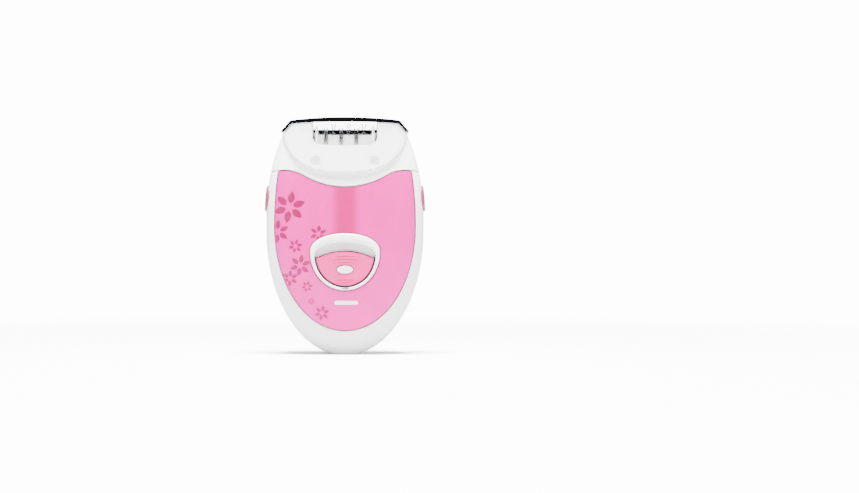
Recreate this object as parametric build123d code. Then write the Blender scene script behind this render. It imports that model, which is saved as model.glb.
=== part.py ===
from build123d import *

import math
import os
from functools import lru_cache

# Palm epilator with a rotating tweezer drum in a lift-off head.
#
# Millimetres, +Z up, front towards -Y, +X to the right seen from the front.
# The origin is the centre of the small flat base that the handle stands on.
# Every piece is one STEP file in parts/, named after its node.

# ---- Outer form: horizontal sections between a lower and an upper ellipse ----
HALF_WIDTH = 37.7
FRONT_DEPTH = 18.0
BACK_DEPTH = 20.0
LOWER_CENTRE, BASE_LEAN = 58.0, 10.0
LOWER_REACH = LOWER_CENTRE / math.cos(math.radians(BASE_LEAN))
UPPER_CENTRE, UPPER_REACH = 65.6, 64.0
UPPER_DEPTH_REACH = 53.3
LOWER_DEPTH_POWER = 2.5
FRONT_FULLNESS = (0.66, 0.57)
BACK_FULLNESS = (0.60, 0.58)

# ---- Walls and gaps ----
WALL = 2.2
HEAD_WALL = 2.0
PANEL = 1.15
SEAM = 0.3
FIT = 0.15
RUNNING = 0.04

# ---- Parting curve between handle and head, seen from the front ----
PARTING_LOW = 79.8
DIP_RADIUS, DIP_ANGLE = 37.5, 31.0
CREST_RADIUS, CREST_ANGLE = 18.5, 31.0

# ---- Head seen from the front ----
HEAD_TOP = 111.4
HEAD_CORNER = (25.6, 110.1)
CHAMFER_ANGLE = 47.5
WINDOW_HALF, WINDOW_LOW, REAR_WINDOW_LOW = 15.3, 99.5, 105.5
NUB_X, NUB_Z = 13.7, 92.0

# ---- Clear cap ----
CAP_GAP, CAP_WALL = 0.4, 1.2
CAP_LIP = ((30.2, 106.3), (27.5, 95.0), (22.0, 86.4), (0.0, 86.4))

# ---- Front panel and thumb switch: half width, reach up, reach down, centre height ----
PANEL_EGG = (33.6, 76.0, 49.7, 61.0)
BEZEL_EGG = (16.5, 8.7, 18.2, 48.9)
WELL_EGG = (14.2, 6.0, 15.0, 47.3)
BEZEL_PROUD = 0.6
WELL_FLOOR_Y = -14.8
SLIDER_BACK_Y = -15.1
SLIDER_TOP, SLIDER_SHOULDER = 49.5, (13.2, 46.1)
LENS_Z, LENS_HALF = 40.5, (3.9, 2.1)
SWITCH_TRAVEL = 2.5

# ---- Release buttons ----
BUTTON_Z, BUTTON_HALF = 74.3, (4.4, 6.2)
BUTTON_PROUD = 0.9
BUTTON_TRAVEL = 1.5
ARM_X, ARM_THICK = 30.0, 0.8
HOOK_Z = 90.4

# ---- Drum: axis along X ----
DRUM_Z = 99.6
BLADE_RADIUS = 10.6
BARREL_RADIUS = 5.2
SHAFT_RADIUS = 1.5
STAR_PITCH = 3.62
STARS = 6
ROWS = 6
FIRST_ROW = 140.0
ROD_CIRCLE, ROD_RADIUS = 3.7, 0.6
SHEET = 0.35
BLADE_OFFSET = 0.3
TIP_LENGTH, TIP_LEAN = 2.2, 0.6
DRUM_END = 12.9
END_DISC = 1.2
ROD_END = 14.6
FRAME_X, FRAME_WALL = 15.4, 2.0

# ---- Gear train, all axes along X ----
DRUM_TEETH, OUTPUT_TEETH, SMALL_TEETH, DRUM_MODULE = 26, 16, 12, 0.6
WHEEL_TEETH, PINION_TEETH, MOTOR_MODULE = 32, 12, 0.5
BACKLASH = 0.14
GEAR_X = 17.7
GEAR_FACE = 3.0
MOTOR_Z, MOTOR_RADIUS, MOTOR_FLAT = 67.8, 10.0, 7.7
PLATE_X = 14.5
MOTOR_LENGTH, ARMATURE_RADIUS = 30.0, 6.1

# ---- Power pack ----
CELL_RADIUS, CELL_LENGTH, CELL_Y = 5.25, 44.5, 5.5
CELL_HEIGHTS = (28.0, 39.2)
BOARD_FRONT_Y, BOARD_BACK_Y = -8.6, -7.0
JACK_RADIUS, JACK_BORE, JACK_DEPTH = 3.5, 2.5, 5.0

CASE_SCREWS = ((-29.3, 60.0), (29.3, 60.0), (-17.0, 16.0), (17.0, 16.0))
HEAD_SCREWS = ((-24.6, 95.0), (24.6, 95.0))
FRAME_SCREWS = ((20.0, 60.0), (20.0, 71.5))


# =============================== tools ===============================


def block(x0, x1, y0, y1, z0, z1):
    """A box between two corners."""
    middle = Pos((x0 + x1) / 2, (y0 + y1) / 2, (z0 + z1) / 2)
    return middle * Box(abs(x1 - x0), abs(y1 - y0), abs(z1 - z0))


def rod_x(radius, x0, x1, y=0.0, z=0.0):
    """A cylinder along X."""
    return Pos((x0 + x1) / 2, y, z) * Rot(0, 90, 0) * Cylinder(radius, abs(x1 - x0))


def rod_y(radius, y0, y1, x=0.0, z=0.0):
    """A cylinder along Y."""
    return Pos(x, (y0 + y1) / 2, z) * Rot(90, 0, 0) * Cylinder(radius, abs(y1 - y0))


def rod_z(radius, z0, z1, x=0.0, y=0.0):
    """A cylinder along Z."""
    return Pos(x, y, (z0 + z1) / 2) * Cylinder(radius, abs(z1 - z0))


def prism(face, y0, y1):
    """A front-view face, drawn in X and Z, pushed from y0 to y1."""
    return Pos(0, y1, 0) * extrude(Plane.XZ * face, amount=y1 - y0)


def through(face):
    """A front-view face pushed through the whole object."""
    return prism(face, -40, 40)


def rounded(half_width, ahead, behind, full_ahead=(0.56, 0.56), full_behind=(0.56, 0.56)):
    """A closed outline of four curves round the origin, level at its four extremes.

    ahead reaches along -Y and behind along +Y. Fullness is 0.55 for an ellipse, more for a squarer corner.
    """
    w, a, b = half_width, ahead, behind
    (ax, ay), (bx, by) = full_ahead, full_behind
    return Wire(
        [
            Bezier((w, 0), (w, -ay * a), (ax * w, -a), (0, -a)),
            Bezier((0, -a), (-ax * w, -a), (-w, -ay * a), (-w, 0)),
            Bezier((-w, 0), (-w, by * b), (-bx * w, b), (0, b)),
            Bezier((0, b), (bx * w, b), (w, by * b), (w, 0)),
        ]
    )


def egg(shape, grow=0.0):
    """A front-view egg: half width, reach up, reach down, centre height, all grown by a gap."""
    half_width, up, down, centre = shape
    outline = rounded(half_width + grow, down + grow, up + grow, (0.56, 0.56), (0.60, 0.56))
    return Pos(0, centre) * make_face(outline)


@lru_cache(maxsize=None)
def skin(inset=0.0):
    """The solid inside the outer form, moved inwards by inset, or outwards where it is negative."""
    sections = []
    for step in range(1, 10):
        lean = math.radians(BASE_LEAN + 10 * (step - 1))
        z = LOWER_CENTRE - (LOWER_REACH - inset) * math.cos(lean)
        depth = (1 - math.cos(lean) ** LOWER_DEPTH_POWER) ** (1 / LOWER_DEPTH_POWER)
        sections.append((z, math.sin(lean), depth))
    for step in range(7):
        rise = (UPPER_REACH - inset) * math.sin(math.radians(8 * step))
        depth = math.sqrt(1 - (rise / (UPPER_DEPTH_REACH - inset)) ** 2)
        sections.append((UPPER_CENTRE + rise, math.cos(math.radians(8 * step)), depth))
    wires = [
        Pos(0, 0, z)
        * rounded(
            (HALF_WIDTH - inset) * width,
            (FRONT_DEPTH - inset) * depth,
            (BACK_DEPTH - inset) * depth,
            FRONT_FULLNESS,
            BACK_FULLNESS,
        )
        for z, width, depth in sections
    ]
    return Solid.make_loft(wires)


def layer(outer, inner):
    """The shell between two insets of the outer form."""
    return skin(outer) - skin(inner)


def above_parting(lift=0.0):
    """Everything above the curve where the head meets the handle."""
    dip, crest = math.radians(DIP_ANGLE), math.radians(CREST_ANGLE)
    x1 = DIP_RADIUS * math.sin(dip)
    z1 = PARTING_LOW + DIP_RADIUS * (1 - math.cos(dip)) + lift
    x2 = x1 + CREST_RADIUS * math.sin(crest)
    z2 = z1 + CREST_RADIUS * (1 - math.cos(crest))
    x3 = x2 + CREST_RADIUS * math.sin(crest)
    low = (0, PARTING_LOW + lift)
    curve = [
        ThreePointArc((-x3, z1), (-x2, z2), (-x1, z1)),
        ThreePointArc((-x1, z1), low, (x1, z1)),
        ThreePointArc((x1, z1), (x2, z2), (x3, z1)),
        Polyline((x3, z1), (x3, 150), (-x3, 150), (-x3, z1)),
    ]
    return through(make_face(curve))


def head_profile(grow=0.0):
    """The head seen from the front: a bowed top with chamfered shoulders."""
    tilt = math.radians(CHAMFER_ANGLE)
    x = HEAD_CORNER[0] + grow * (1 - math.cos(tilt)) / math.sin(tilt)
    z = HEAD_CORNER[1] + grow
    reach = 26.0
    far_x, far_z = x + reach * math.cos(tilt), z - reach * math.sin(tilt)
    return make_face(
        [
            ThreePointArc((-x, z), (0, HEAD_TOP + grow), (x, z)),
            Polyline((x, z), (far_x, far_z), (far_x, 60), (-far_x, 60), (-far_x, far_z), (-x, z)),
        ]
    )


def window(low):
    """The opening over the drum: open at the top, with a bowed lower edge and round corners."""
    half, corner_rise, corner_radius = WINDOW_HALF, 0.7, 3.4
    z = low + corner_rise
    face = make_face(
        [
            ThreePointArc((-half, z), (0, low), (half, z)),
            Polyline((half, z), (half, 130), (-half, 130), (-half, z)),
        ]
    )
    return fillet(face.vertices().sort_by(Axis.Y)[:2], corner_radius)


def cap_region():
    """The clear cap seen from the front: everything above its drooping lip."""
    start, pull, flatten, low = CAP_LIP
    mirrored = [(-x, z) for x, z in (low, flatten, pull, start)]
    return make_face(
        [
            Bezier(start, pull, flatten, low),
            Bezier(*mirrored),
            Polyline(mirrored[-1], (-45, start[1]), (-45, 130), (45, 130), (45, start[1]), start),
        ]
    )


def coil(radius, wire, turns, length):
    """A coil spring along +Z from the origin."""
    path = Helix(pitch=length / turns, height=length, radius=radius)
    ring = Plane(origin=path @ 0, z_dir=path % 0) * Circle(wire / 2)
    return sweep(ring, path=path)


def across(angle, x=0.0, y=0.0, z=0.0):
    """A placement for drum and gear work: local X and Y lie in the row's Y and Z, local Z along +X."""
    plane = Plane(origin=(x, y, z), x_dir=(0, 1, 0), z_dir=(1, 0, 0))
    return plane.location * Rot(0, 0, angle)


# =============================== gears ===============================


def gear_face(teeth, module):
    """An involute spur gear with a tooth centred on the local X axis."""
    pitch = teeth * module / 2
    base = pitch * math.cos(math.radians(20))
    tip, root = pitch + 0.9 * module, pitch - 1.2 * module

    def rolled(radius):
        pressure = math.acos(min(1.0, base / radius))
        return math.tan(pressure) - pressure

    half_tooth = (math.pi * module / 2 - BACKLASH) / (2 * pitch)
    start = max(base, root)
    radii = [start + (tip - start) * i / 3 for i in range(4)]
    flank = [(r, half_tooth + rolled(pitch) - rolled(r)) for r in radii]
    points = []
    for n in range(teeth):
        middle = 2 * math.pi * n / teeth
        gap = math.pi / teeth
        points.append((root, middle - gap))
        points.append((root, middle - flank[0][1] - 0.02))
        points += [(r, middle - a) for r, a in flank]
        points += [(r, middle + a) for r, a in reversed(flank)]
        points.append((root, middle + flank[0][1] + 0.02))
    return Polygon(*[(r * math.cos(a), r * math.sin(a)) for r, a in points], align=None)


def meshed(teeth, phase, other_teeth, direction):
    """The phase in degrees of a gear that meshes with one of known phase, lying in a direction from it."""
    share = teeth * (direction - phase) / 360
    return direction + 180 - 360 / other_teeth * (0.5 - share)


def gear(teeth, module, x, width, centre, phase, bore):
    """A spur gear on an axis along X through centre, given as its Y and Z."""
    place = across(phase, x, *centre)
    blank = place * extrude(gear_face(teeth, module), amount=width)
    return blank - rod_x(bore, x - 1, x + width + 1, *centre)


def centre_of_wheel():
    """The middle wheel's axis, from the motor's and the output gear's."""
    lower = (WHEEL_TEETH + PINION_TEETH) * MOTOR_MODULE / 2
    upper = (OUTPUT_TEETH + SMALL_TEETH) * DRUM_MODULE / 2
    apart = OUTPUT_Z - MOTOR_Z
    along = (lower**2 - upper**2 + apart**2) / (2 * apart)
    return math.sqrt(lower**2 - along**2), MOTOR_Z + along


OUTPUT_Z = DRUM_Z - (DRUM_TEETH + OUTPUT_TEETH) * DRUM_MODULE / 2
WHEEL = centre_of_wheel()
WHEEL_X = GEAR_X + GEAR_FACE + 0.3
WHEEL_FACE = 2.0
OUTER_PLATE_X = 24.0

DRUM_PHASE = 0.0
OUTPUT_PHASE = meshed(DRUM_TEETH, DRUM_PHASE, OUTPUT_TEETH, -90)
TO_WHEEL = math.degrees(math.atan2(WHEEL[1] - OUTPUT_Z, WHEEL[0]))
SMALL_PHASE = meshed(OUTPUT_TEETH, OUTPUT_PHASE, SMALL_TEETH, TO_WHEEL)
TO_PINION = math.degrees(math.atan2(MOTOR_Z - WHEEL[1], -WHEEL[0]))
PINION_PHASE = meshed(WHEEL_TEETH, SMALL_PHASE, PINION_TEETH, TO_PINION)


def drum_gear():
    blank = gear(DRUM_TEETH, DRUM_MODULE, GEAR_X, GEAR_FACE, (0, DRUM_Z), DRUM_PHASE, SHAFT_RADIUS + 0.02)
    for n in range(5):
        hole = across(72 * n, GEAR_X - 1, 0, DRUM_Z) * Pos(4.7, 0, 2) * Cylinder(1.2, 8)
        blank -= hole
    return blank


def output_gear():
    return gear(OUTPUT_TEETH, DRUM_MODULE, GEAR_X, GEAR_FACE, (0, OUTPUT_Z), OUTPUT_PHASE, 1.0 + RUNNING)


def compound_gear():
    small = gear(SMALL_TEETH, DRUM_MODULE, GEAR_X, WHEEL_X - GEAR_X + 0.2, WHEEL, SMALL_PHASE, 1.0 + RUNNING)
    wheel = gear(WHEEL_TEETH, MOTOR_MODULE, WHEEL_X, WHEEL_FACE, WHEEL, SMALL_PHASE, 1.0 + RUNNING)
    for n in range(6):
        wheel -= across(60 * n + 30, WHEEL_X - 1, *WHEEL) * Pos(6.2, 0, 2) * Cylinder(1.3, 8)
    return small + wheel


def motor_pinion():
    return gear(PINION_TEETH, MOTOR_MODULE, WHEEL_X - 0.3, 2.6, (0, MOTOR_Z), PINION_PHASE, 1.0)


# =============================== handle ===============================


def half(front):
    """The room in front of or behind the seam between the two half shells."""
    return block(-60, 60, -60, 0, -20, 140) if front else block(-60, 60, 0, 60, -20, 140)


def seam_groove():
    """A shallow square groove along the seam of the half shells."""
    return layer(-1, 0.3) & block(-60, 60, -0.12, 0.12, -20, 140)


def side_ellipse(grow, inner_x):
    """The oval of both release buttons, seen from the side, pushed along X beyond inner_x."""
    depth, height = BUTTON_HALF
    oval = Ellipse(depth + grow, height + grow)
    push = Plane(origin=(inner_x, 0, BUTTON_Z), x_dir=(0, 1, 0), z_dir=(1, 0, 0)) * oval
    return extrude(push, amount=60 if inner_x > 0 else -60)


def both_sides(make):
    """A piece on the right and its mirror image on the left."""
    right = make()
    return right + mirror(right, about=Plane.YZ)


def handle_half(front):
    """One hollow half of the handle, without its fittings."""
    shell = layer(0, WALL) & half(front)
    shell -= above_parting(-SEAM / 2)
    shell -= side_ellipse(FIT + 0.1, 20)
    shell -= side_ellipse(FIT + 0.1, -20)
    shell -= seam_groove()
    return shell - rod_z(JACK_RADIUS + 0.1, -5, 12)


def screw_post(x, z, y_from, y_to, radius):
    """A solid post along Y, trimmed to the inside of the outer form."""
    return rod_y(radius, y_from, y_to, x, z) & skin(0.6)


def front_shell():
    shell = handle_half(True)
    for x, z in CASE_SCREWS:
        shell += screw_post(x, z, -30, -0.05, 2.7) & skin(WALL - 0.3)
    for x, z in FRAME_SCREWS:
        shell += rod_y(2.3, -30, -9.65, x, z) & skin(WALL - 0.3)
    recess = layer(-5, PANEL + 0.05) & prism(egg(PANEL_EGG, 0.2), -40, 0)
    shell -= recess
    shell -= prism(egg(BEZEL_EGG, FIT), -40, -5)
    for x, z in CASE_SCREWS:
        shell -= rod_y(0.85, -7, 0, x, z)
    for x, z in FRAME_SCREWS:
        shell -= rod_y(0.7, -14, -9, x, z)
    return shell


def rear_shell():
    shell = handle_half(False)
    for x, z in CASE_SCREWS:
        shell += screw_post(x, z, 0.05, 30, 3.5)
    for x, z in CASE_SCREWS:
        shell -= rod_y(1.2, -1, 30, x, z)
        shell -= rod_y(2.4, 7, 30, x, z)
    return shell


def front_panel():
    """The coloured cover plate, let into the front shell."""
    plate = layer(0, PANEL) & prism(egg(PANEL_EGG), -40, 0)
    plate -= above_parting(-SEAM / 2)
    return plate - prism(egg(BEZEL_EGG, FIT), -40, 0)


def indicator_slot(length, height):
    """The indicator's outline below the well, seen from the front."""
    return Pos(0, WELL_EGG[3] - WELL_EGG[2] - 0.9) * SlotOverall(length, height)


def switch_bezel():
    """The raised ring round the thumb switch, with the walls of its well."""
    ring = skin(-BEZEL_PROUD) & prism(egg(BEZEL_EGG), -40, WELL_FLOOR_Y)
    ring -= prism(egg(WELL_EGG), -40, 0)
    return ring - prism(indicator_slot(5.0, 0.9), -40, WELL_FLOOR_Y)


def indicator_lens():
    """The light pipe of the charge indicator, in a slot below the well."""
    return prism(indicator_slot(4.9, 0.8), -40, WELL_FLOOR_Y - 0.1) & skin(-BEZEL_PROUD + 0.35)


def switch_floor():
    """The floor of the well, with a slot for the slider's stem and a light hole behind the indicator."""
    floor = prism(egg(BEZEL_EGG), WELL_FLOOR_Y, WELL_FLOOR_Y + 1.0)
    floor -= prism(indicator_slot(3.0, 0.7), -20, 0)
    return floor - block(-3.2, 3.2, -20, 0, 37.0, 37.0 + 5.0 + SWITCH_TRAVEL + 0.8)


def slider_face():
    """The thumb slider seen from the front: the well's shape below a bowed top edge."""
    x, z = SLIDER_SHOULDER
    under = make_face(
        [
            ThreePointArc((-x - 3, z - 1.7), (0, SLIDER_TOP), (x + 3, z - 1.7)),
            Polyline((x + 3, z - 1.7), (x + 3, 20), (-x - 3, 20), (-x - 3, z - 1.7)),
        ]
    )
    face = (egg(WELL_EGG, -0.45) & under).face()
    return fillet(face.vertices().sort_by(Axis.Y)[-2:], 0.8)


def switch_button():
    """The thumb slider, ribbed above and below its oval window."""
    button = skin(0.1) & prism(slider_face(), -40, SLIDER_BACK_Y)
    for z, half_length in ((47.1, 4.6), (45.7, 5.6), (44.3, 4.8), (36.6, 4.6), (35.0, 3.6)):
        bow = 0.35 if z > LENS_Z else -0.35
        path = ThreePointArc((-half_length, z - bow), (0, z + bow), (half_length, z - bow))
        rib = make_face(offset(path, 0.22).edges())
        button -= layer(-3, 0.45) & prism(rib, -40, -10)
    lens = Pos(0, LENS_Z) * Ellipse(LENS_HALF[0] + 0.1, LENS_HALF[1] + 0.1)
    return button - prism(lens, -40, -16.2)


def switch_window():
    """The oval inlay in the slider."""
    lens = Pos(0, LENS_Z) * Ellipse(*LENS_HALF)
    return skin(-0.05) & prism(lens, -40, -16.25)


def switch_carriage():
    """The stem behind the slider: it passes the well floor and carries the switch's nub."""
    stem = block(-2.4, 2.4, SLIDER_BACK_Y, -11.6, 37.6, 42.2)
    plate = block(-5.0, 5.0, -11.6, -11.1, 36.0, 44.0)
    nub = block(-1.0, 1.0, -11.1, -9.9, 38.6, 41.2)
    return stem + plate + nub


def slide_switch():
    """The electrical switch on the board, with the slot that its nub runs in."""
    body = block(-3.0, 3.0, -10.9, BOARD_FRONT_Y, 36.0, 47.0)
    body -= block(-1.15, 1.15, -12, -9.7, 38.3, 41.5 + SWITCH_TRAVEL)
    return body


def circuit_board():
    face = Pos(0, 39.5) * RectangleRounded(42, 31, 3)
    board = prism(face, BOARD_FRONT_Y, BOARD_BACK_Y)
    for x in (-18.5, 18.5):
        for z in (27.0, 52.0):
            board -= rod_y(1.1, -12, 0, x, z)
    return board


def circuit_components():
    """The chip, a coil, two capacitors and the indicator diode on the board."""
    chip = block(7, 13, -10.1, BOARD_FRONT_Y, 44, 50)
    small_chip = block(-14, -10, -10.0, BOARD_FRONT_Y, 30, 34)
    choke = rod_y(3.0, BOARD_BACK_Y, -3.6, 13, 50)
    tall_can = rod_y(2.5, BOARD_BACK_Y, -2.6, -5, 50)
    diode = block(-1.6, 1.6, -10.6, BOARD_FRONT_Y, 30.3, 32.3)
    return [chip, small_chip, choke, tall_can, diode]


def power_jack():
    """The charging socket in the base: a wide mouth, then a contact sleeve round a pin."""
    jack = rod_z(JACK_RADIUS, 0.25, 12.5) + rod_z(5.4, 3.5, 4.8)
    jack -= rod_z(JACK_BORE, -1, JACK_DEPTH + 0.25)
    jack -= rod_z(1.75, 0, 10.5)
    return jack + rod_z(0.65, JACK_DEPTH + 0.8, 11)


def neck_frame():
    """The collar under the head: a deck that closes the handle, with slots for gears and latches."""
    deck_low, deck_top = 84.6, 86.0
    room = block(-60, 60, -60, 60, deck_low - 10.6, deck_top)
    collar = layer(WALL + 0.4, WALL + 2.2) & room
    collar -= both_sides(lambda: block(23, 60, -60, 60, 60, deck_low - 1))
    deck = skin(WALL + 0.4) & block(-60, 60, -60, 60, deck_low, deck_top)
    gears = block(13.2, 26.0, -10.5, 12.2, 60, 95) & skin(WALL + 2.2)
    seats = both_sides(lambda: block(25.7, 26.9, -4.0, 4.0, 70.5, deck_low))
    frame = collar + deck + seats
    frame -= gears
    frame -= both_sides(lambda: block(28.0, 31.2, -3.5, 3.5, 80, 95))
    return frame


def gear_frame():
    """The U-shaped bracket that holds the motor and the gear axles."""
    inner = block(PLATE_X, PLATE_X + 1.5, -9.6, 11.5, 57.4, 84.0)
    inner += rod_x(3.2, PLATE_X, PLATE_X + 1.5, 0, OUTPUT_Z)
    inner += block(PLATE_X, PLATE_X + 1.5, -3.2, 3.2, 82, OUTPUT_Z)
    inner += rod_x(2.2, PLATE_X - 1.0, PLATE_X + 2.8, 0, OUTPUT_Z)
    outer = block(OUTER_PLATE_X, OUTER_PLATE_X + 1.4, -9.6, 8.0, 57.4, 82.6)
    outer += rod_x(3.0, OUTER_PLATE_X, OUTER_PLATE_X + 1.4, *WHEEL)
    web = block(PLATE_X, OUTER_PLATE_X + 1.4, -9.6, -8.4, 57.4, 80.0)
    frame = (inner + outer + web) & skin(WALL + 2.5)
    frame -= rod_x(2.6, PLATE_X - 5, PLATE_X + 2, 0, MOTOR_Z)
    for x0, x1, centre in (
        (PLATE_X - 5, PLATE_X + 4, (0, OUTPUT_Z)),
        (PLATE_X - 1, OUTER_PLATE_X + 3, WHEEL),
    ):
        frame -= rod_x(1.0, x0, x1, *centre)
    for side in (-1, 1):
        frame -= rod_x(0.9, PLATE_X - 1, PLATE_X + 2, 5.6 * side, MOTOR_Z - 4.5)
    for x, z in FRAME_SCREWS:
        frame -= rod_y(0.95, -11, -7, x, z)
    return frame


def motor_can():
    """The motor's steel can, round with two flats, and its front boss."""
    can = rod_x(MOTOR_RADIUS, PLATE_X - MOTOR_LENGTH, PLATE_X, 0, MOTOR_Z)
    can &= block(-60, 60, -MOTOR_FLAT, MOTOR_FLAT, 40, 100)
    can += rod_x(2.5, PLATE_X, PLATE_X + 1.4, 0, MOTOR_Z)
    can -= rod_x(1.0 + RUNNING, -40, 40, 0, MOTOR_Z)
    can -= rod_x(ARMATURE_RADIUS + 0.4, PLATE_X - MOTOR_LENGTH + 1.0, PLATE_X - 3.2, 0, MOTOR_Z)
    for side in (-1, 1):
        can -= rod_x(0.7, PLATE_X - 3, PLATE_X + 1, 5.6 * side, MOTOR_Z - 4.5)
    return can


def motor_armature():
    """The wound armature on the motor's shaft: three poles, and the commutator behind them."""
    back = PLATE_X - MOTOR_LENGTH
    armature = rod_x(ARMATURE_RADIUS, back + 6.0, PLATE_X - 5.0, 0, MOTOR_Z)
    for n in range(3):
        armature -= across(120 * n, back + 5, 0, MOTOR_Z) * Pos(4.6, 0, 10.5) * Box(4.0, 1.6, 24)
    armature += rod_x(2.6, back + 2.0, back + 6.0, 0, MOTOR_Z)
    return armature - rod_x(1.0, -40, 40, 0, MOTOR_Z)


def motor_end_bell():
    """The plastic end cap of the motor, with its two terminals' slots."""
    x = PLATE_X - MOTOR_LENGTH
    bell = rod_x(MOTOR_RADIUS - 0.6, x - 1.8, x, 0, MOTOR_Z)
    bell &= block(-60, 60, 0.6 - MOTOR_FLAT, MOTOR_FLAT - 0.6, 40, 100)
    bell += rod_x(2.6, x - 3.2, x - 1.8, 0, MOTOR_Z)
    bell -= rod_x(1.0 + RUNNING, x - 1.9, x + 1, 0, MOTOR_Z)
    for side in (-1, 1):
        bell -= block(x - 3, x + 1, 4.4 * side - 0.25, 4.4 * side + 0.25, MOTOR_Z - 1.2, MOTOR_Z + 1.2)
    return bell


def motor_terminals():
    """The two brass tags that stand out of the end cap."""
    x = PLATE_X - MOTOR_LENGTH
    return [
        block(x - 4.4, x - 0.1, 4.4 * side - 0.2, 4.4 * side + 0.2, MOTOR_Z - 1.15, MOTOR_Z + 1.15)
        for side in (-1, 1)
    ]


def motor_leads():
    """Two leads from the motor's tags down to the back of the board."""
    x = PLATE_X - MOTOR_LENGTH - 4.42
    leads = []
    for side in (-1, 1):
        foot = (x + 4.6 + 1.5 * side, MOTOR_Z - 17.2)
        route = [
            (x, 4.4 * side, MOTOR_Z),
            (x - 3.0, 4.4 * side, MOTOR_Z),
            (x - 4.2, 2.6 * side - 1.0, MOTOR_Z - 6.0),
            (x - 1.0, 1.2 * side - 1.6, MOTOR_Z - 12.0),
            (foot[0], -2.6, foot[1]),
            (foot[0], BOARD_BACK_Y + 0.02, foot[1]),
        ]
        path = FilletPolyline(*route, radius=arc_radii(route))
        ring = Plane(origin=path @ 0, z_dir=path % 0) * Circle(0.55)
        leads.append(sweep(ring, path=path))
    return leads


def arc_radii(route):
    """The largest arc that each corner of a route leaves room for."""
    points = [Vector(*p) for p in route]
    radii = []
    for before, here, after in zip(points, points[1:], points[2:]):
        first, second = here - before, after - here
        turn = math.radians(first.get_angle(second))
        radii.append(0.45 * min(first.length, second.length) / math.tan(turn / 2))
    return radii


def battery_cell(z):
    """One rechargeable cell lying across the handle, with its raised positive end."""
    half_length = CELL_LENGTH / 2
    cell = rod_x(CELL_RADIUS, -half_length, half_length - 1.0, CELL_Y, z)
    return cell + rod_x(1.9, half_length - 1.5, half_length, CELL_Y, z)


def battery_contacts():
    """The nickel strips welded across the cells' ends."""
    low, high = CELL_HEIGHTS
    x = CELL_LENGTH / 2
    joined = block(-x - 0.45, -x - 0.05, CELL_Y - 2, CELL_Y + 2, low - 2, high + 2)
    tags = [block(x + 0.05, x + 0.45, CELL_Y - 2, CELL_Y + 2, z - 2, z + 2) for z in CELL_HEIGHTS]
    return [joined, *tags]


def battery_tray():
    """The saddle that both cells lie in."""
    low, high = CELL_HEIGHTS
    tray = block(-20.5, 20.5, CELL_Y + 0.6, CELL_Y + 7.4, low - 6.6, high + 6.6) & skin(WALL + 0.3)
    for z in CELL_HEIGHTS:
        tray -= rod_x(CELL_RADIUS + 0.08, -40, 40, CELL_Y, z)
    return tray


def screws_along_y(places, head_y, tip_y, shank, head_radius, towards_front=True):
    """Pan-head screws along Y with a cross-shaped drive, head behind or in front."""
    made = []
    way = 1 if towards_front else -1
    for x, z in places:
        head = rod_y(head_radius, head_y, head_y + 1.4 * way, x, z)
        screw = rod_y(shank, tip_y, head_y, x, z) + head
        for width, height in ((2.2, 0.5), (0.5, 2.2)):
            drive = Pos(x, head_y + 1.0 * way, z) * Box(width, 1.0, height)
            screw -= drive
        made.append(screw)
    return made


def case_screws():
    return screws_along_y(CASE_SCREWS, 7.05, -6.5, 0.84, 2.0)


def frame_screws():
    return screws_along_y(FRAME_SCREWS, -8.35, -13.5, 0.69, 1.6)


def motor_screws():
    """Two short screws that hold the motor to its plate."""
    made = []
    for side in (-1, 1):
        centre = (5.6 * side, MOTOR_Z - 4.5)
        screw = rod_x(0.69, PLATE_X - 2.5, PLATE_X + 1.55, *centre)
        made.append(screw + rod_x(1.4, PLATE_X + 1.55, PLATE_X + 2.4, *centre))
    return made


def gear_axles():
    """The middle wheel's axle between both plates, and the output gear's stub pin."""
    wheel_axle = rod_x(0.99, PLATE_X + 0.05, OUTER_PLATE_X + 1.3, *WHEEL)
    return [wheel_axle, rod_x(0.99, PLATE_X - 0.9, GEAR_X + GEAR_FACE + 0.2, 0, OUTPUT_Z)]


# =============================== release buttons ===============================


def release_button():
    """The right button: its oval pad, a flange that keeps it in, and a block for the latch arm."""
    pad = layer(-BUTTON_PROUD, WALL + 0.5) & side_ellipse(0, 20)
    flange = layer(WALL + 0.3, WALL + 1.4) & side_ellipse(1.3, 20)
    stem = block(ARM_X + ARM_THICK + 0.02, 35.0, -2.6, 2.6, 71.0, 77.6) & skin(WALL + 0.9)
    return pad + flange + stem


def latch_arm():
    """The right latch: a springy strip up through the deck, with a hook that faces outwards."""
    strip = block(ARM_X, ARM_X + ARM_THICK, -2.6, 2.6, 71.0, HOOK_Z + 1.4)
    hook_face = make_face(
        Polyline(
            (ARM_X, HOOK_Z),
            (ARM_X + 2.2, HOOK_Z),
            (ARM_X + 2.2, HOOK_Z + 0.5),
            (ARM_X + 1.0, HOOK_Z + 1.4),
            (ARM_X, HOOK_Z + 1.4),
            (ARM_X, HOOK_Z),
        )
    )
    return strip + prism(hook_face, -2.6, 2.6)


def button_spring():
    """The right button's return spring, between the neck's seat and the latch arm."""
    spring = coil(2.0, 0.4, 3, 2.5)
    return Pos(26.9 + 0.28, 0, BUTTON_Z) * Rot(0, 90, 0) * spring


# =============================== head ===============================


def head_half(front):
    """One hollow half of the head."""
    outer = skin(0) & through(head_profile())
    inner = skin(HEAD_WALL) & through(head_profile(-HEAD_WALL))
    shell = (outer - inner) & above_parting(SEAM / 2) & half(front)
    low = WINDOW_LOW if front else REAR_WINDOW_LOW
    shell -= prism(window(low), -40, 0) if front else prism(window(low), -1, 40)
    ledge = both_sides(lambda: block(31.1, 36, -3.0, 3.0, HOOK_Z - 2.1, HOOK_Z - 0.2))
    shell += ledge & skin(HEAD_WALL - 0.5) & half(front)
    nub = layer(-0.25, 0.6) & prism(nub_face(0), -40, 40) & half(front)
    return (shell + nub) - seam_groove()


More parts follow.
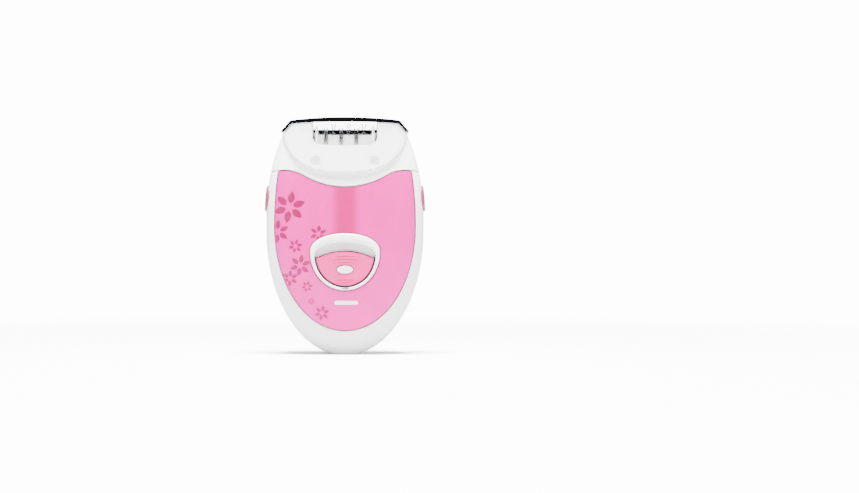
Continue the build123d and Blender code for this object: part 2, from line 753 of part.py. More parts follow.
def nub_face(grow):
    """The two small snap nubs that the cap's windows click over."""
    one = RectangleRounded(3.0 + 2 * grow, 3.2 + 2 * grow, 0.7)
    return Pos(NUB_X, NUB_Z) * one + Pos(-NUB_X, NUB_Z) * one


def head_front_shell():
    shell = head_half(True)
    for x, z in HEAD_SCREWS:
        shell += rod_y(2.4, -30, -0.05, x, z) & skin(HEAD_WALL - 0.3)
    for x, z in HEAD_SCREWS:
        shell -= rod_y(0.85, -6, 0, x, z)
    return shell


def head_rear_shell():
    shell = head_half(False)
    for x, z in HEAD_SCREWS:
        shell += rod_y(3.2, 0.05, 30, x, z) & skin(0.5)
    for x, z in HEAD_SCREWS:
        shell -= rod_y(1.1, -1, 30, x, z)
        shell -= rod_y(2.2, 4.5, 30, x, z)
    return shell


def head_screws():
    return screws_along_y(HEAD_SCREWS, 4.55, -5.5, 0.84, 1.8)


def head_frame():
    """The cradle of the drum: two cheeks on a base plate, with pockets for the cam rollers."""
    low, base_top, cheek_top = 86.5, 87.9, 107.6
    cheek = block(FRAME_X, FRAME_X + FRAME_WALL, -11, 11, low, cheek_top)
    base = block(-FRAME_X - FRAME_WALL, FRAME_X + FRAME_WALL, -12, 12, low, base_top)
    frame = cheek + mirror(cheek, about=Plane.YZ) + base
    frame &= skin(HEAD_WALL + 0.4)
    frame -= block(13.2, 18.5, -7.5, 9.5, 80, 92.6)
    frame -= rod_x(2.2, -30, 30, 0, DRUM_Z)
    roller_z = DRUM_Z + ROD_CIRCLE
    for side in (-1, 1):
        middle = side * (FRAME_X + 0.75)
        frame -= block(middle - 2.5, middle + 2.5, -1.6, 1.6, roller_z - 1.3, roller_z + 1.3)
        frame -= rod_z(0.4, roller_z, cheek_top - 0.8, middle, 0)
    return frame


def drum_shield():
    """The dark trough round the lower and rear part of the drum."""
    ring = rod_x(12.2, -15.2, 15.2, 0, DRUM_Z) - rod_x(11.3, -20, 20, 0, DRUM_Z)
    keep = block(-20, 20, -20, 0, DRUM_Z - 11.2, DRUM_Z - 3.6)
    keep += block(-20, 20, 0, 20, DRUM_Z - 11.2, DRUM_Z + 8.0)
    trough = (ring & keep & skin(HEAD_WALL + 0.3)) - block(13.2, 16, -7.5, 9.5, 80, 92.6)
    return [solid for solid in trough.solids() if solid.volume > 20]


def bearing_bushes():
    """The two bronze bushes that the drum shaft runs in."""
    made = []
    for side in (-1, 1):
        bush = rod_x(2.18, side * FRAME_X, side * (FRAME_X + FRAME_WALL), 0, DRUM_Z)
        made.append(bush - rod_x(SHAFT_RADIUS + RUNNING, -30, 30, 0, DRUM_Z))
    return made


def cam_roller(side):
    """The roller that presses the rods' ends inwards as they pass the top."""
    x, z = side * (FRAME_X + 0.75), DRUM_Z + ROD_CIRCLE
    return rod_z(1.3, z - 1.1, z + 1.1, x, 0) - rod_z(0.42, z - 3, z + 3, x, 0)


def roller_pins():
    """The two upright pins of the cam rollers."""
    z = DRUM_Z + ROD_CIRCLE
    return [rod_z(0.38, z - 1.2, z + 3.0, side * (FRAME_X + 0.75), 0) for side in (-1, 1)]


def clear_cap():
    """The transparent cover over the head, with two snap windows in front and behind."""
    outer = skin(-CAP_GAP - CAP_WALL) & through(head_profile(CAP_GAP + CAP_WALL))
    inner = skin(-CAP_GAP) & through(head_profile(CAP_GAP))
    cap = (outer - inner) & through(cap_region())
    return cap - through(nub_face(0.3))


# =============================== drum ===============================


def star_x(k):
    """The axial place of tweezer k, counted from the left."""
    return (k - (STARS - 1) / 2) * STAR_PITCH


def row_angle(row):
    return FIRST_ROW - 60.0 * row


def finger_face(root):
    """A tweezer finger along local X: a neck that widens to a rounded tip."""
    neck = 1.5
    tip = 2.3
    return make_face(
        [
            Polyline((7.6, neck), (root, neck), (root, -neck), (7.6, -neck)),
            Bezier((7.6, -neck), (8.6, -neck), (9.0, -tip), (9.7, -tip)),
            Bezier((9.7, -tip), (BLADE_RADIUS + 0.3, -tip), (BLADE_RADIUS + 0.3, tip), (9.7, tip)),
            Bezier((9.7, tip), (9.0, tip), (8.6, neck), (7.6, neck)),
        ]
    )


def flared(root, x, way):
    """A finger of sheet metal along local X at axial place x, whose tip leans by way from its partner."""
    bend, lean = BLADE_RADIUS - TIP_LENGTH, TIP_LEAN
    side = make_face(
        Polyline(
            (root, 0),
            (bend, 0),
            (BLADE_RADIUS + 0.5, lean * way),
            (BLADE_RADIUS + 0.5, (lean + SHEET) * way),
            (bend, SHEET * way),
            (root, SHEET * way),
            (root, 0),
        )
    )
    sheet = Pos(0, 3, x) * extrude(Plane.XZ * side, amount=6)
    return sheet & (Pos(0, 0, x - 5) * extrude(finger_face(root), amount=10))


def tweezer_star(k):
    """A fixed tweezer plate: a hub with three fingers on every other row."""
    even = k % 2 == 0
    way = -1 if even else 1
    start = star_x(k) + BLADE_OFFSET * way
    hub = Pos(0, 0, start + SHEET * way / 2) * Cylinder(4.5, SHEET)
    star = hub
    for row in range(0 if even else 1, ROWS, 2):
        star += Rot(0, 0, row_angle(row)) * flared(2.0, start, way)
    for row in range(ROWS):
        star -= Rot(0, 0, row_angle(row)) * Pos(ROD_CIRCLE, 0, start) * Cylinder(ROD_RADIUS + 0.12, 4)
    star -= Pos(0, 0, start) * Cylinder(SHAFT_RADIUS + 0.02, 8)
    return across(0, 0, 0, DRUM_Z) * star


def tweezer_comb(row):
    """A sliding rod with its three moving tweezer plates."""
    even = row % 2 == 0
    way = 1 if even else -1
    near, far = -14.1 * way, ROD_END * way
    rod = Pos(ROD_CIRCLE, 0, (near + far) / 2) * Cylinder(ROD_RADIUS, abs(far - near))
    for k in range(0 if even else 1, STARS, 2):
        rod += flared(2.6, star_x(k) + BLADE_OFFSET * way, way)
    return across(row_angle(row), 0, 0, DRUM_Z) * rod


def spacer(start, end, left_pockets, right_pockets):
    """A barrel piece between two plates, with pockets that the moving plates swing in."""
    length = end - start
    disc = Pos(0, 0, (start + end) / 2) * Cylinder(BARREL_RADIUS, length)
    disc = fillet(disc.edges().filter_by(GeomType.CIRCLE), min(0.6, length / 2 - 0.15))
    disc -= Pos(0, 0, start) * Cylinder(SHAFT_RADIUS + 0.02, 3 * length)
    depth = 2 * BLADE_OFFSET + SHEET + 0.2
    for row in range(ROWS):
        turn = Rot(0, 0, row_angle(row))
        disc -= turn * Pos(ROD_CIRCLE, 0, start) * Cylinder(ROD_RADIUS + 0.12, 3 * length)
        if row % 2 == 0 and left_pockets:
            disc -= turn * Pos(6.4, 0, start + depth / 2) * Box(8.0, 3.6, depth)
        if row % 2 == 1 and right_pockets:
            disc -= turn * Pos(6.4, 0, end - depth / 2) * Box(8.0, 3.6, depth)
    return across(0, 0, 0, DRUM_Z) * disc


def drum_barrels():
    """The white barrel pieces between the tweezer plates, and the two at the ends."""
    inner, outer = BLADE_OFFSET - 0.01, BLADE_OFFSET + SHEET + 0.01
    pieces = [spacer(-DRUM_END, star_x(0) - outer, False, False)]
    for k in range(STARS - 1):
        if k % 2 == 0:
            pieces.append(spacer(star_x(k) - inner, star_x(k + 1) + inner, True, True))
        else:
            pieces.append(spacer(star_x(k) + outer, star_x(k + 1) - outer, False, False))
    pieces.append(spacer(star_x(STARS - 1) + outer, DRUM_END, False, False))
    return pieces


def end_disc(side):
    """The white disc that closes one end of the drum."""
    x0, x1 = side * (DRUM_END + 0.01), side * (DRUM_END + END_DISC)
    disc = rod_x(9.4, x0, x1, 0, DRUM_Z)
    disc = fillet(disc.edges().filter_by(GeomType.CIRCLE), 0.35)
    disc -= rod_x(SHAFT_RADIUS + 0.02, -30, 30, 0, DRUM_Z)
    for row in range(ROWS):
        hole = across(row_angle(row), 0, 0, DRUM_Z) * Pos(ROD_CIRCLE, 0, 0) * Cylinder(ROD_RADIUS + 0.12, 60)
        disc -= hole
    return disc


def rod_spring(side):
    """A three-legged leaf washer that pushes every other rod back."""
    start = side * (DRUM_END + END_DISC + 0.02)
    centre = start + side * 0.08
    washer = Pos(0, 0, centre) * Cylinder(2.6, 0.15)
    for row in range(0 if side < 0 else 1, ROWS, 2):
        washer += Rot(0, 0, row_angle(row)) * Pos(3.4, 0, centre) * Box(2.6, 1.0, 0.15)
    washer -= Pos(0, 0, centre) * Cylinder(SHAFT_RADIUS + 0.02, 1)
    return across(0, 0, 0, DRUM_Z) * washer


def drum_shaft():
    return rod_x(SHAFT_RADIUS, -18.3, GEAR_X + GEAR_FACE + 0.5, 0, DRUM_Z)


# =============================== write the pieces ===============================


def mirrored(piece):
    return mirror(piece, about=Plane.YZ)


def all_parts():
    """Every node's name and its solid, or list of solids."""
    parts = {
        "front_shell": front_shell(),
        "rear_shell": rear_shell(),
        "front_panel": front_panel(),
        "switch_bezel": switch_bezel(),
        "switch_floor": switch_floor(),
        "indicator_lens": indicator_lens(),
        "switch_button": switch_button(),
        "switch_window": switch_window(),
        "switch_carriage": switch_carriage(),
        "slide_switch": slide_switch(),
        "circuit_board": circuit_board(),
        "circuit_components": circuit_components(),
        "power_jack": power_jack(),
        "neck_frame": neck_frame(),
        "gear_frame": gear_frame(),
        "motor_can": motor_can(),
        "motor_end_bell": motor_end_bell(),
        "motor_terminals": motor_terminals(),
        "motor_leads": motor_leads(),
        "motor_shaft": rod_x(1.0, PLATE_X - MOTOR_LENGTH - 1.4, WHEEL_X + 2.5, 0, MOTOR_Z),
        "motor_armature": motor_armature(),
        "motor_pinion": motor_pinion(),
        "compound_gear": compound_gear(),
        "output_gear": output_gear(),
        "gear_axles": gear_axles(),
        "battery_tray": battery_tray(),
        "lower_battery_cell": battery_cell(CELL_HEIGHTS[0]),
        "upper_battery_cell": battery_cell(CELL_HEIGHTS[1]),
        "battery_contacts": battery_contacts(),
        "case_screws": case_screws(),
        "frame_screws": frame_screws(),
        "motor_screws": motor_screws(),
        "right_release_button": release_button(),
        "left_release_button": mirrored(release_button()),
        "right_latch_arm": latch_arm(),
        "left_latch_arm": mirrored(latch_arm()),
        "right_button_spring": button_spring(),
        "left_button_spring": mirrored(button_spring()),
        "head_front_shell": head_front_shell(),
        "head_rear_shell": head_rear_shell(),
        "head_screws": head_screws(),
        "head_frame": head_frame(),
        "drum_shield": drum_shield(),
        "bearing_bushes": bearing_bushes(),
        "left_cam_roller": cam_roller(-1),
        "right_cam_roller": cam_roller(1),
        "roller_pins": roller_pins(),
        "clear_cap": clear_cap(),
        "drum_shaft": drum_shaft(),
        "drum_gear": drum_gear(),
        "drum_barrels": drum_barrels(),
        "drum_end_discs": [end_disc(-1), end_disc(1)],
        "tweezer_stars": [tweezer_star(k) for k in range(STARS)],
        "rod_springs": [rod_spring(-1), rod_spring(1)],
    }
    for row in range(ROWS):
        parts[f"tweezer_comb_{row + 1}"] = tweezer_comb(row)
    return parts


def write(name, shape):
    """Writes one node's STEP file."""
    if isinstance(shape, list):
        shape = Compound(children=[s.solid() for s in shape])
    export_step(shape, f"parts/{name}.step")


if __name__ == "__main__":
    os.makedirs("parts", exist_ok=True)
    for node, solid in all_parts().items():
        write(node, solid)
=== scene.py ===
"""Looks of the palm epilator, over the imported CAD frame. Lengths are millimetres until a mesh is made."""

import math

import bmesh
import bpy
import numpy as np
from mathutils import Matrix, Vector
from mathutils.geometry import delaunay_2d_cdt


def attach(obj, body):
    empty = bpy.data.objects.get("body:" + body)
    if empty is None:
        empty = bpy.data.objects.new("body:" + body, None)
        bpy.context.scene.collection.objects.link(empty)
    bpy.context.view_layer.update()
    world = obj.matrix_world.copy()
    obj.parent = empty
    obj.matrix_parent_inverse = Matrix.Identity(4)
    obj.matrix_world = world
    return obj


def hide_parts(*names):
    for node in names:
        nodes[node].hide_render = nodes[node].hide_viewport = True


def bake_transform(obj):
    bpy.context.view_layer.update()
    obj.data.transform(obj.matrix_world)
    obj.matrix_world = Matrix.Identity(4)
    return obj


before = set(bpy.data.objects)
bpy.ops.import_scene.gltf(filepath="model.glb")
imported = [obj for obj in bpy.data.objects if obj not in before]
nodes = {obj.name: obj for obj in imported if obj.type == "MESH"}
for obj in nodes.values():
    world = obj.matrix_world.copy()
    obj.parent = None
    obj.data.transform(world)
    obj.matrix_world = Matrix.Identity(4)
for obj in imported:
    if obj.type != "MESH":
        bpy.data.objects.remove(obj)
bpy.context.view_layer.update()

# ---- Outer form, as in the CAD: sections between a lower and an upper ellipse ----
HALF_WIDTH, FRONT_DEPTH, BACK_DEPTH = 37.7, 18.0, 20.0
LOWER_CENTRE, BASE_LEAN = 58.0, 10.0
LOWER_REACH = LOWER_CENTRE / math.cos(math.radians(BASE_LEAN))
UPPER_CENTRE, UPPER_REACH, UPPER_DEPTH_REACH = 65.6, 64.0, 53.3
LOWER_DEPTH_POWER = 2.5
FULLNESS = {-1: (0.66, 0.57), 1: (0.60, 0.58)}
WALL, HEAD_WALL, SEAM = 2.2, 2.0, 0.3
PARTING_LOW, DIP_RADIUS, CREST_RADIUS, BEND = 79.8, 37.5, 18.5, math.radians(31.0)
FLANK_RANGE = (28, 37)
HEAD_TOP, HEAD_CORNER, CHAMFER = 111.4, (25.6, 110.1), math.radians(47.5)

# ---- Front view: eggs are (half width, reach up, reach down, centre height) ----
PANEL_EGG, BEZEL_EGG, WELL_EGG = (33.6, 76.0, 49.7, 61.0), (16.5, 8.7, 18.2, 48.9), (14.2, 6.0, 15.0, 47.3)
EGG_PULL, EGG_TOP_PULL, CORNER_PULL = 0.56, 0.60, 0.42
PANEL_GAP, BEZEL_GAP, SLIDER_GAP, BED_GROW = 0.2, 0.15, 0.45, 0.9
WELL_FLOOR, WELL_RIM_SHADOW_BELOW = -14.8, 47.0
INDICATOR = (0.3, 31.4)
SLIDER_TOP, SLIDER_BOW_SIDE, SLIDER_SHADED_RIM_ABOVE = 49.5, (16.2, 44.4), 46.5
INLAY_Z, INLAY_HALF = 40.5, (4.35, 2.4)
BUTTON_Z, BUTTON_HALF, BUTTON_GAP = 74.3, (4.4, 6.2), 0.25
WINDOW_HALF, WINDOW_BOW, WINDOW_CORNER = 15.3, 0.7, 3.4
WINDOW_LOW = {-1: 99.5, 1: 105.5}
CAP_LIP = ((30.2, 106.3), (27.5, 95.0), (22.0, 86.4), (0.0, 86.4))
NUB, NUB_HALF, NUB_RADIUS, NUB_GAP = (13.7, 92.0), (1.5, 1.6), 0.7, 0.3
MARK, MARK_HALF = (0.6, 24.8), (5.6, 0.85)
CASE_SCREWS = ((-29.3, 60.0), (29.3, 60.0), (-17.0, 16.0), (17.0, 16.0))
SCREW_HOLE, SOCKET_HOLE, SOCKET_DEPTH, FLOOR_Z = 2.4, 3.65, 2.6, 3.2

# ---- Insets of outer and inner faces from the form, and the radii of rolled edges ----
CASE_ROLL, TOP_ROLL, WINDOW_ROLL = 0.14, 0.45, 1.1
PANEL_IN, PANEL_ROLL, BED_OUT, BED_ROLL = 1.15, 0.42, 1.22, 0.05
RING_OUT, RING_ROLL, RING_CROWN = -0.42, 0.5, 0.15
LENS_OUT, LENS_IN, LENS_ROLL = -0.62, 0.2, 0.1
SLIDER_OUT, SLIDER_IN, SLIDER_ROLL = 0.1, 2.2, 0.5
INLAY_OUT, INLAY_IN, INLAY_ROLL = -0.15, 1.2, 0.55
NUB_OUT, NUB_IN, NUB_ROLL = -0.25, 0.5, 0.22
PAD_OUT, PAD_CROWN, PAD_ROLL = -0.9, 0.06, 0.6
FLANGE, FLANGE_OUT, FLANGE_IN, PAD_BORE = 1.3, 2.55, 3.6, 2.0
CAP_GROW, CAP_UNDER, CAP_OUT, CAP_IN = 1.6, 0.4, -1.6, -0.4
CAP_TOP_ROLL, CAP_ROLL = 0.4, 0.25

MM = 0.001
SIDE_NAME = {1: "right", -1: "left"}
TABLE = np.linspace(0.0, 1.0, 2001)


def bezier_x(s, full):
    """The share of a section's half width at a place s round it, from its middle to its side."""
    return s**3 + 3 * s**2 * (1 - s) + 3 * s * (1 - s) ** 2 * full


def bezier_y(s, full):
    """The share of a section's depth at a place s round it."""
    return 3 * s**2 * (1 - s) * full + 3 * s * (1 - s) ** 2 + (1 - s) ** 3


X_TABLE = {side: bezier_x(TABLE, FULLNESS[side][0]) for side in (-1, 1)}
Y_TABLE = {side: bezier_y(TABLE, FULLNESS[side][1]) for side in (-1, 1)}


def extents(z, t):
    """Half width and depth factor of the outer form moved inwards by t, at heights z."""
    z = np.asarray(z, float)
    c = np.clip((LOWER_CENTRE - z) / (LOWER_REACH - t), 0, 0.9999)
    rise = np.clip((z - UPPER_CENTRE) / (UPPER_REACH - t), 0, 0.9999)
    deep = np.clip((z - UPPER_CENTRE) / (UPPER_DEPTH_REACH - t), 0, 0.9999)
    width = np.where(z < LOWER_CENTRE, np.sqrt(1 - c**2), np.sqrt(1 - rise**2))
    lower_depth = (1 - c**LOWER_DEPTH_POWER) ** (1 / LOWER_DEPTH_POWER)
    depth = np.where(z < LOWER_CENTRE, lower_depth, np.sqrt(1 - deep**2))
    return (HALF_WIDTH - t) * width, depth


def full_depth(side, t):
    """The front's or back's greatest depth, moved inwards by t."""
    return (BACK_DEPTH if side > 0 else FRONT_DEPTH) - t


def share(x, z, t, side):
    """The place round the section, -1 to 1, of a point seen from the front."""
    width, _ = extents(z, t)
    s = np.interp(np.clip(np.abs(x) / width, 0, 1), X_TABLE[side], TABLE)
    return np.copysign(s, x)


def at_share(s, z, t, side):
    """The point on the form at a place round the section."""
    width, depth = extents(z, t)
    a = np.abs(s)
    x = np.copysign(width * bezier_x(a, FULLNESS[side][0]), s)
    y = side * full_depth(side, t) * depth * bezier_y(a, FULLNESS[side][1])
    return np.stack([x, y, np.broadcast_to(np.asarray(z, float), x.shape)], -1)


def on_form(x, z, t, side):
    """The point on the form in front of or behind a point seen from the front."""
    return at_share(share(x, z, t, side), z, t, side)


def arc_table(side):
    """The length along the section from its centre to each tabulated place, at the widest section."""
    x, y = HALF_WIDTH * X_TABLE[side], full_depth(side, 0) * Y_TABLE[side]
    return np.concatenate([[0], np.cumsum(np.hypot(np.diff(x), np.diff(y)))])


ARC = {side: arc_table(side) for side in (-1, 1)}


def spread(z):
    """The share of the widest section's width that the section at a height has."""
    return extents(z, 0.0)[0] / HALF_WIDTH


def unrolled(s, z, side):
    """Flat coordinates of a place on the form: length round the section, and height."""
    u = np.copysign(np.interp(np.abs(s), TABLE, ARC[side]), s) * spread(z)
    return np.stack([u, np.broadcast_to(np.asarray(z, float), u.shape)], -1)


def rolled_up(p, side):
    """The place round the section of flat coordinates."""
    r = p[:, 0] / spread(p[:, 1])
    return np.copysign(np.interp(np.abs(r), ARC[side], TABLE), r)


def from_flat(p, t, side):
    """The point on the form of flat coordinates."""
    return at_share(rolled_up(p, side), p[:, 1], t, side)


def from_front(points, t, side):
    """Flat coordinates of points seen from the front."""
    points = np.asarray(points, float)
    return unrolled(share(points[:, 0], points[:, 1], t, side), points[:, 1], side)


def seam_line(way, z0, z1, side, step=1.3):
    """Flat coordinates along the silhouette, on the right or left."""
    z = np.linspace(z0, z1, max(2, int(abs(z1 - z0) / step) + 1))
    return unrolled(np.full(len(z), float(way)), z, side)


def flank_place(y, z, t, side):
    """The place round the section of points seen from the side."""
    _, depth = extents(z, t)
    ratio = np.clip(np.abs(y) / (full_depth(side, t) * depth), 0, 1)
    return np.interp(1 - ratio, 1 - Y_TABLE[side], TABLE)


def on_flank(y, z, t, way):
    """The point on the form beside a point seen from the side."""
    y, z = np.asarray(y, float), np.asarray(z, float)
    ahead = at_share(way * flank_place(y, z, t, -1), z, t, -1)
    behind = at_share(way * flank_place(y, z, t, 1), z, t, 1)
    found = np.where((y < 0)[:, None], ahead, behind)
    found[:, 1] = y
    return found


# ---- Mesh tools ----


def linked(name, data):
    """A new object in the scene."""
    obj = bpy.data.objects.new(name, data)
    bpy.context.scene.collection.objects.link(obj)
    return obj


def finish_mesh(name, verts, faces, kinds, body, materials, sharp=None):
    """A smooth mesh object from millimetre points, riding on a CAD body if one is named."""
    mesh = bpy.data.meshes.new(name)
    mesh.from_pydata((verts * MM).tolist(), [], [tuple(map(int, f)) for f in faces])
    mesh.polygons.foreach_set("material_index", kinds)
    bm = bmesh.new()
    bm.from_mesh(mesh)
    bmesh.ops.remove_doubles(bm, verts=bm.verts, dist=2e-7)
    bmesh.ops.dissolve_degenerate(bm, dist=1e-7, edges=bm.edges)
    bmesh.ops.delete(bm, geom=[v for v in bm.verts if not v.link_faces], context="VERTS")
    bmesh.ops.recalc_face_normals(bm, faces=bm.faces)
    bm.to_mesh(mesh)
    bm.free()
    mesh.shade_smooth()
    if sharp is not None:
        mesh.set_sharp_from_angle(angle=math.radians(sharp))
    for material in materials:
        mesh.materials.append(material)
    obj = linked(name, mesh)
    if body:
        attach(obj, body)
    return obj


def inside(points, loop):
    """Even-odd test of points against a closed loop."""
    x, y = points[:, 0], points[:, 1]
    found = np.zeros(len(points), bool)
    for (ax, ay), (bx, by) in zip(loop, np.roll(loop, -1, axis=0)):
        if by != ay:
            found ^= ((ay > y) != (by > y)) & (x < (bx - ax) * (y - ay) / (by - ay) + ax)
    return found


def nearest(points, line):
    """The nearest point on an open polyline to each point."""
    best, found = np.full(len(points), 1e9), points.copy()
    for p, q in zip(line[:-1], line[1:]):
        d = q - p
        k = np.clip(((points - p) @ d) / max(float(d @ d), 1e-12), 0, 1)
        at = p + k[:, None] * d
        gap = np.linalg.norm(points - at, axis=1)
        found = np.where((gap < best)[:, None], at, found)
        best = np.minimum(best, gap)
    return found


def distance(points, line):
    """The least distance from each point to an open polyline."""
    return np.linalg.norm(points - nearest(points, line), axis=1)


def distance_to(points, loop):
    """The least distance from each point to a loop."""
    return distance(points, np.vstack([loop, loop[:1]]))


def resample(points, step, closed=False, pieces=None):
    """Points along a polyline, evenly spaced at about step, or that split it into a number of pieces."""
    points = np.asarray(points, float)
    if closed:
        points = np.vstack([points, points[:1]])
    run = np.concatenate([[0], np.cumsum(np.linalg.norm(np.diff(points, axis=0), axis=1))])
    pieces = pieces or max(2, int(round(run[-1] / step)))
    where = np.linspace(0, run[-1], pieces + 1)
    out = np.stack([np.interp(where, run, points[:, i]) for i in range(2)], -1)
    return out[:-1] if closed else out


def curve(*control, count=24):
    """A Bezier curve's points from its control points."""
    t = np.linspace(0, 1, count + 1)[:, None]
    n = len(control) - 1
    weights = [math.comb(n, i) * (1 - t) ** (n - i) * t**i for i in range(n + 1)]
    return sum(w * np.array(c, float) for w, c in zip(weights, control))


def egg(shape, grow, step=0.7):
    """The front-view egg of the CAD as a loop, anticlockwise seen from the front."""
    w, up, down, centre = shape
    w, up, down = w + grow, up + grow, down + grow
    upper = curve((w, 0), (w, EGG_PULL * up), (EGG_TOP_PULL * w, up), (0, up), count=60)
    lower = curve((0, -down), (EGG_PULL * w, -down), (w, -EGG_PULL * down), (w, 0), count=60)
    loop = np.vstack([upper[:-1], upper[:0:-1] * (-1, 1), lower[:0:-1] * (-1, 1), lower[:-1]])
    return resample(loop + (0, centre), step, closed=True)


def round_angles(count):
    """Angles spaced evenly round a whole turn."""
    return np.linspace(0, 2 * math.pi, count, endpoint=False)


def bow_radius(half, rise):
    """The radius of an arc from its half chord and its rise."""
    return (half**2 + rise**2) / (2 * rise)


def bow_height(x, top, radius):
    """The height at x of an arc whose highest point is at top, over x = 0."""
    return top - radius + np.sqrt(np.maximum(radius**2 - x**2, 0))


def arc(cx, cz, r, start, end, count=40):
    """Points along a circle's arc, between two angles in degrees."""
    a = np.radians(np.linspace(start, end, count + 1))
    return np.stack([cx + r * np.cos(a), cz + r * np.sin(a)], -1)


def parting(lift):
    """The curve between handle and head, from left to right."""
    bend = math.degrees(BEND)
    x1, z1 = DIP_RADIUS * math.sin(BEND), PARTING_LOW + DIP_RADIUS * (1 - math.cos(BEND))
    crest = (x1 + CREST_RADIUS * math.sin(BEND), z1 - CREST_RADIUS * math.cos(BEND))
    left = arc(-crest[0], crest[1], CREST_RADIUS, 90 + bend, 90 - bend)
    dip = arc(0, PARTING_LOW + DIP_RADIUS, DIP_RADIUS, -90 - bend, -90 + bend, 80)
    right = arc(crest[0], crest[1], CREST_RADIUS, 90 + bend, 90 - bend)
    return np.vstack([left, dip[1:], right[1:]]) + (0, lift)


def parting_at(x, lift):
    """The height of the parting curve at x."""
    line = parting(lift)
    return np.interp(x, line[:, 0], line[:, 1])


def parting_between(x0, x1, lift, step=0.9):
    """The parting curve's points from x0 to x1."""
    x = np.linspace(x0, x1, max(2, int(abs(x1 - x0) / step) + 1))
    return np.stack([x, parting_at(x, lift)], -1)


def round_corners(loop, corners, radius, count=8):
    """Rounds the named corners of a coarse loop."""
    out = []
    for i, p in enumerate(loop):
        if i not in corners:
            out.append(p)
            continue
        a, b = loop[i - 1], loop[(i + 1) % len(loop)]
        u, v = (a - p) / np.linalg.norm(a - p), (b - p) / np.linalg.norm(b - p)
        near = CORNER_PULL * radius
        out.extend(curve(p + u * radius, p + u * near, p + v * near, p + v * radius, count=count))
    return np.array(out)


def outward(loop, still):
    """Outward unit directions at each point of a flat loop, none along edges whose both ends are still."""
    edge = np.roll(loop, -1, axis=0) - loop
    normal = np.stack([edge[:, 1], -edge[:, 0]], -1)
    normal /= np.maximum(np.linalg.norm(normal, axis=1, keepdims=True), 1e-9)
    ahead = np.roll(loop, -1, axis=0)
    if float(np.sum(loop[:, 0] * ahead[:, 1] - ahead[:, 0] * loop[:, 1])) < 0:
        normal = -normal
    normal[still & np.roll(still, -1)] = 0
    before = np.roll(normal, 1, axis=0)
    both = normal + before
    unit = both / np.maximum(np.linalg.norm(both, axis=1, keepdims=True), 1e-9)
    cosine = np.maximum(np.abs((unit * normal).sum(1)), np.abs((unit * before).sum(1)))[:, None]
    return unit / np.maximum(cosine, 0.5)


STRAIGHT_UNTIL, STRAIGHT_FADE, LOW_SLOPE = 0.75, 0.2, 0.02


def straight_in(p, t0, t, side):
    """The place round the section, at inset t, of flat points at inset t0: straight in along Y.

    Towards the silhouette, where Y runs along the wall, the place stays the same instead.
    """
    s = rolled_up(p, side)
    at = at_share(s, p[:, 1], t0, side)
    width, _ = extents(p[:, 1], t)
    along = share(np.clip(at[:, 0], -width, width), p[:, 1], t, side)
    k = np.clip((np.abs(s) - STRAIGHT_UNTIL) / STRAIGHT_FADE, 0, 1)
    k = k * k * (3 - 2 * k)
    return along * (1 - k) + s * k


def on_seam(p, side, slack=0.02):
    """Which flat points lie on the silhouette."""
    return np.abs(p[:, 0]) >= ARC[side][-1] * spread(p[:, 1]) - slack


def band(a, b):
    """The faces between two rings of point numbers."""
    n = len(a)
    return [(a[i], a[(i + 1) % n], b[(i + 1) % n], b[i]) for i in range(n)]


def edge_directions(loops, side, roll, joined):
    """Which points of each loop lie on the silhouette, their outward directions, and their rolls' radii."""
    seams, normals, rolls = [], [], []
    for k, loop in enumerate(loops):
        seam = on_seam(loop, side)
        normal = outward(loop, seam if joined else np.zeros(len(loop), bool))
        radii = roll(loop) if callable(roll) else np.full(len(loop), float(roll))
        seams.append(seam)
        normals.append(normal if k == 0 else -normal)
        rolls.append(radii[:, None])
    return seams, normals, rolls


def wall_rings(loop, seam, normal, roll, placed, steps, t0, t1, edges):
    """The rings of a loop's rolled edge and of the wall behind it, with the inner face's ring last."""
    rings = []
    for k in range(1, steps + 1):
        angle = 0.5 * math.pi * k / steps
        p = loop - normal * roll * (1 - math.sin(angle))
        rings.append(placed(p, t0 + roll[:, 0] * (1 - math.cos(angle)), seam))
    wall, end = rings[-1], placed(loop, np.full(len(loop), t1), seam)
    extra = [wall.copy(), wall.copy(), end.copy(), end.copy()]
    for test, path, _ in edges:
        mine = test(loop)
        if mine.any():
            for ring, new in zip(extra, path(loop[mine], wall[mine])):
                ring[mine] = new
    return rings + extra


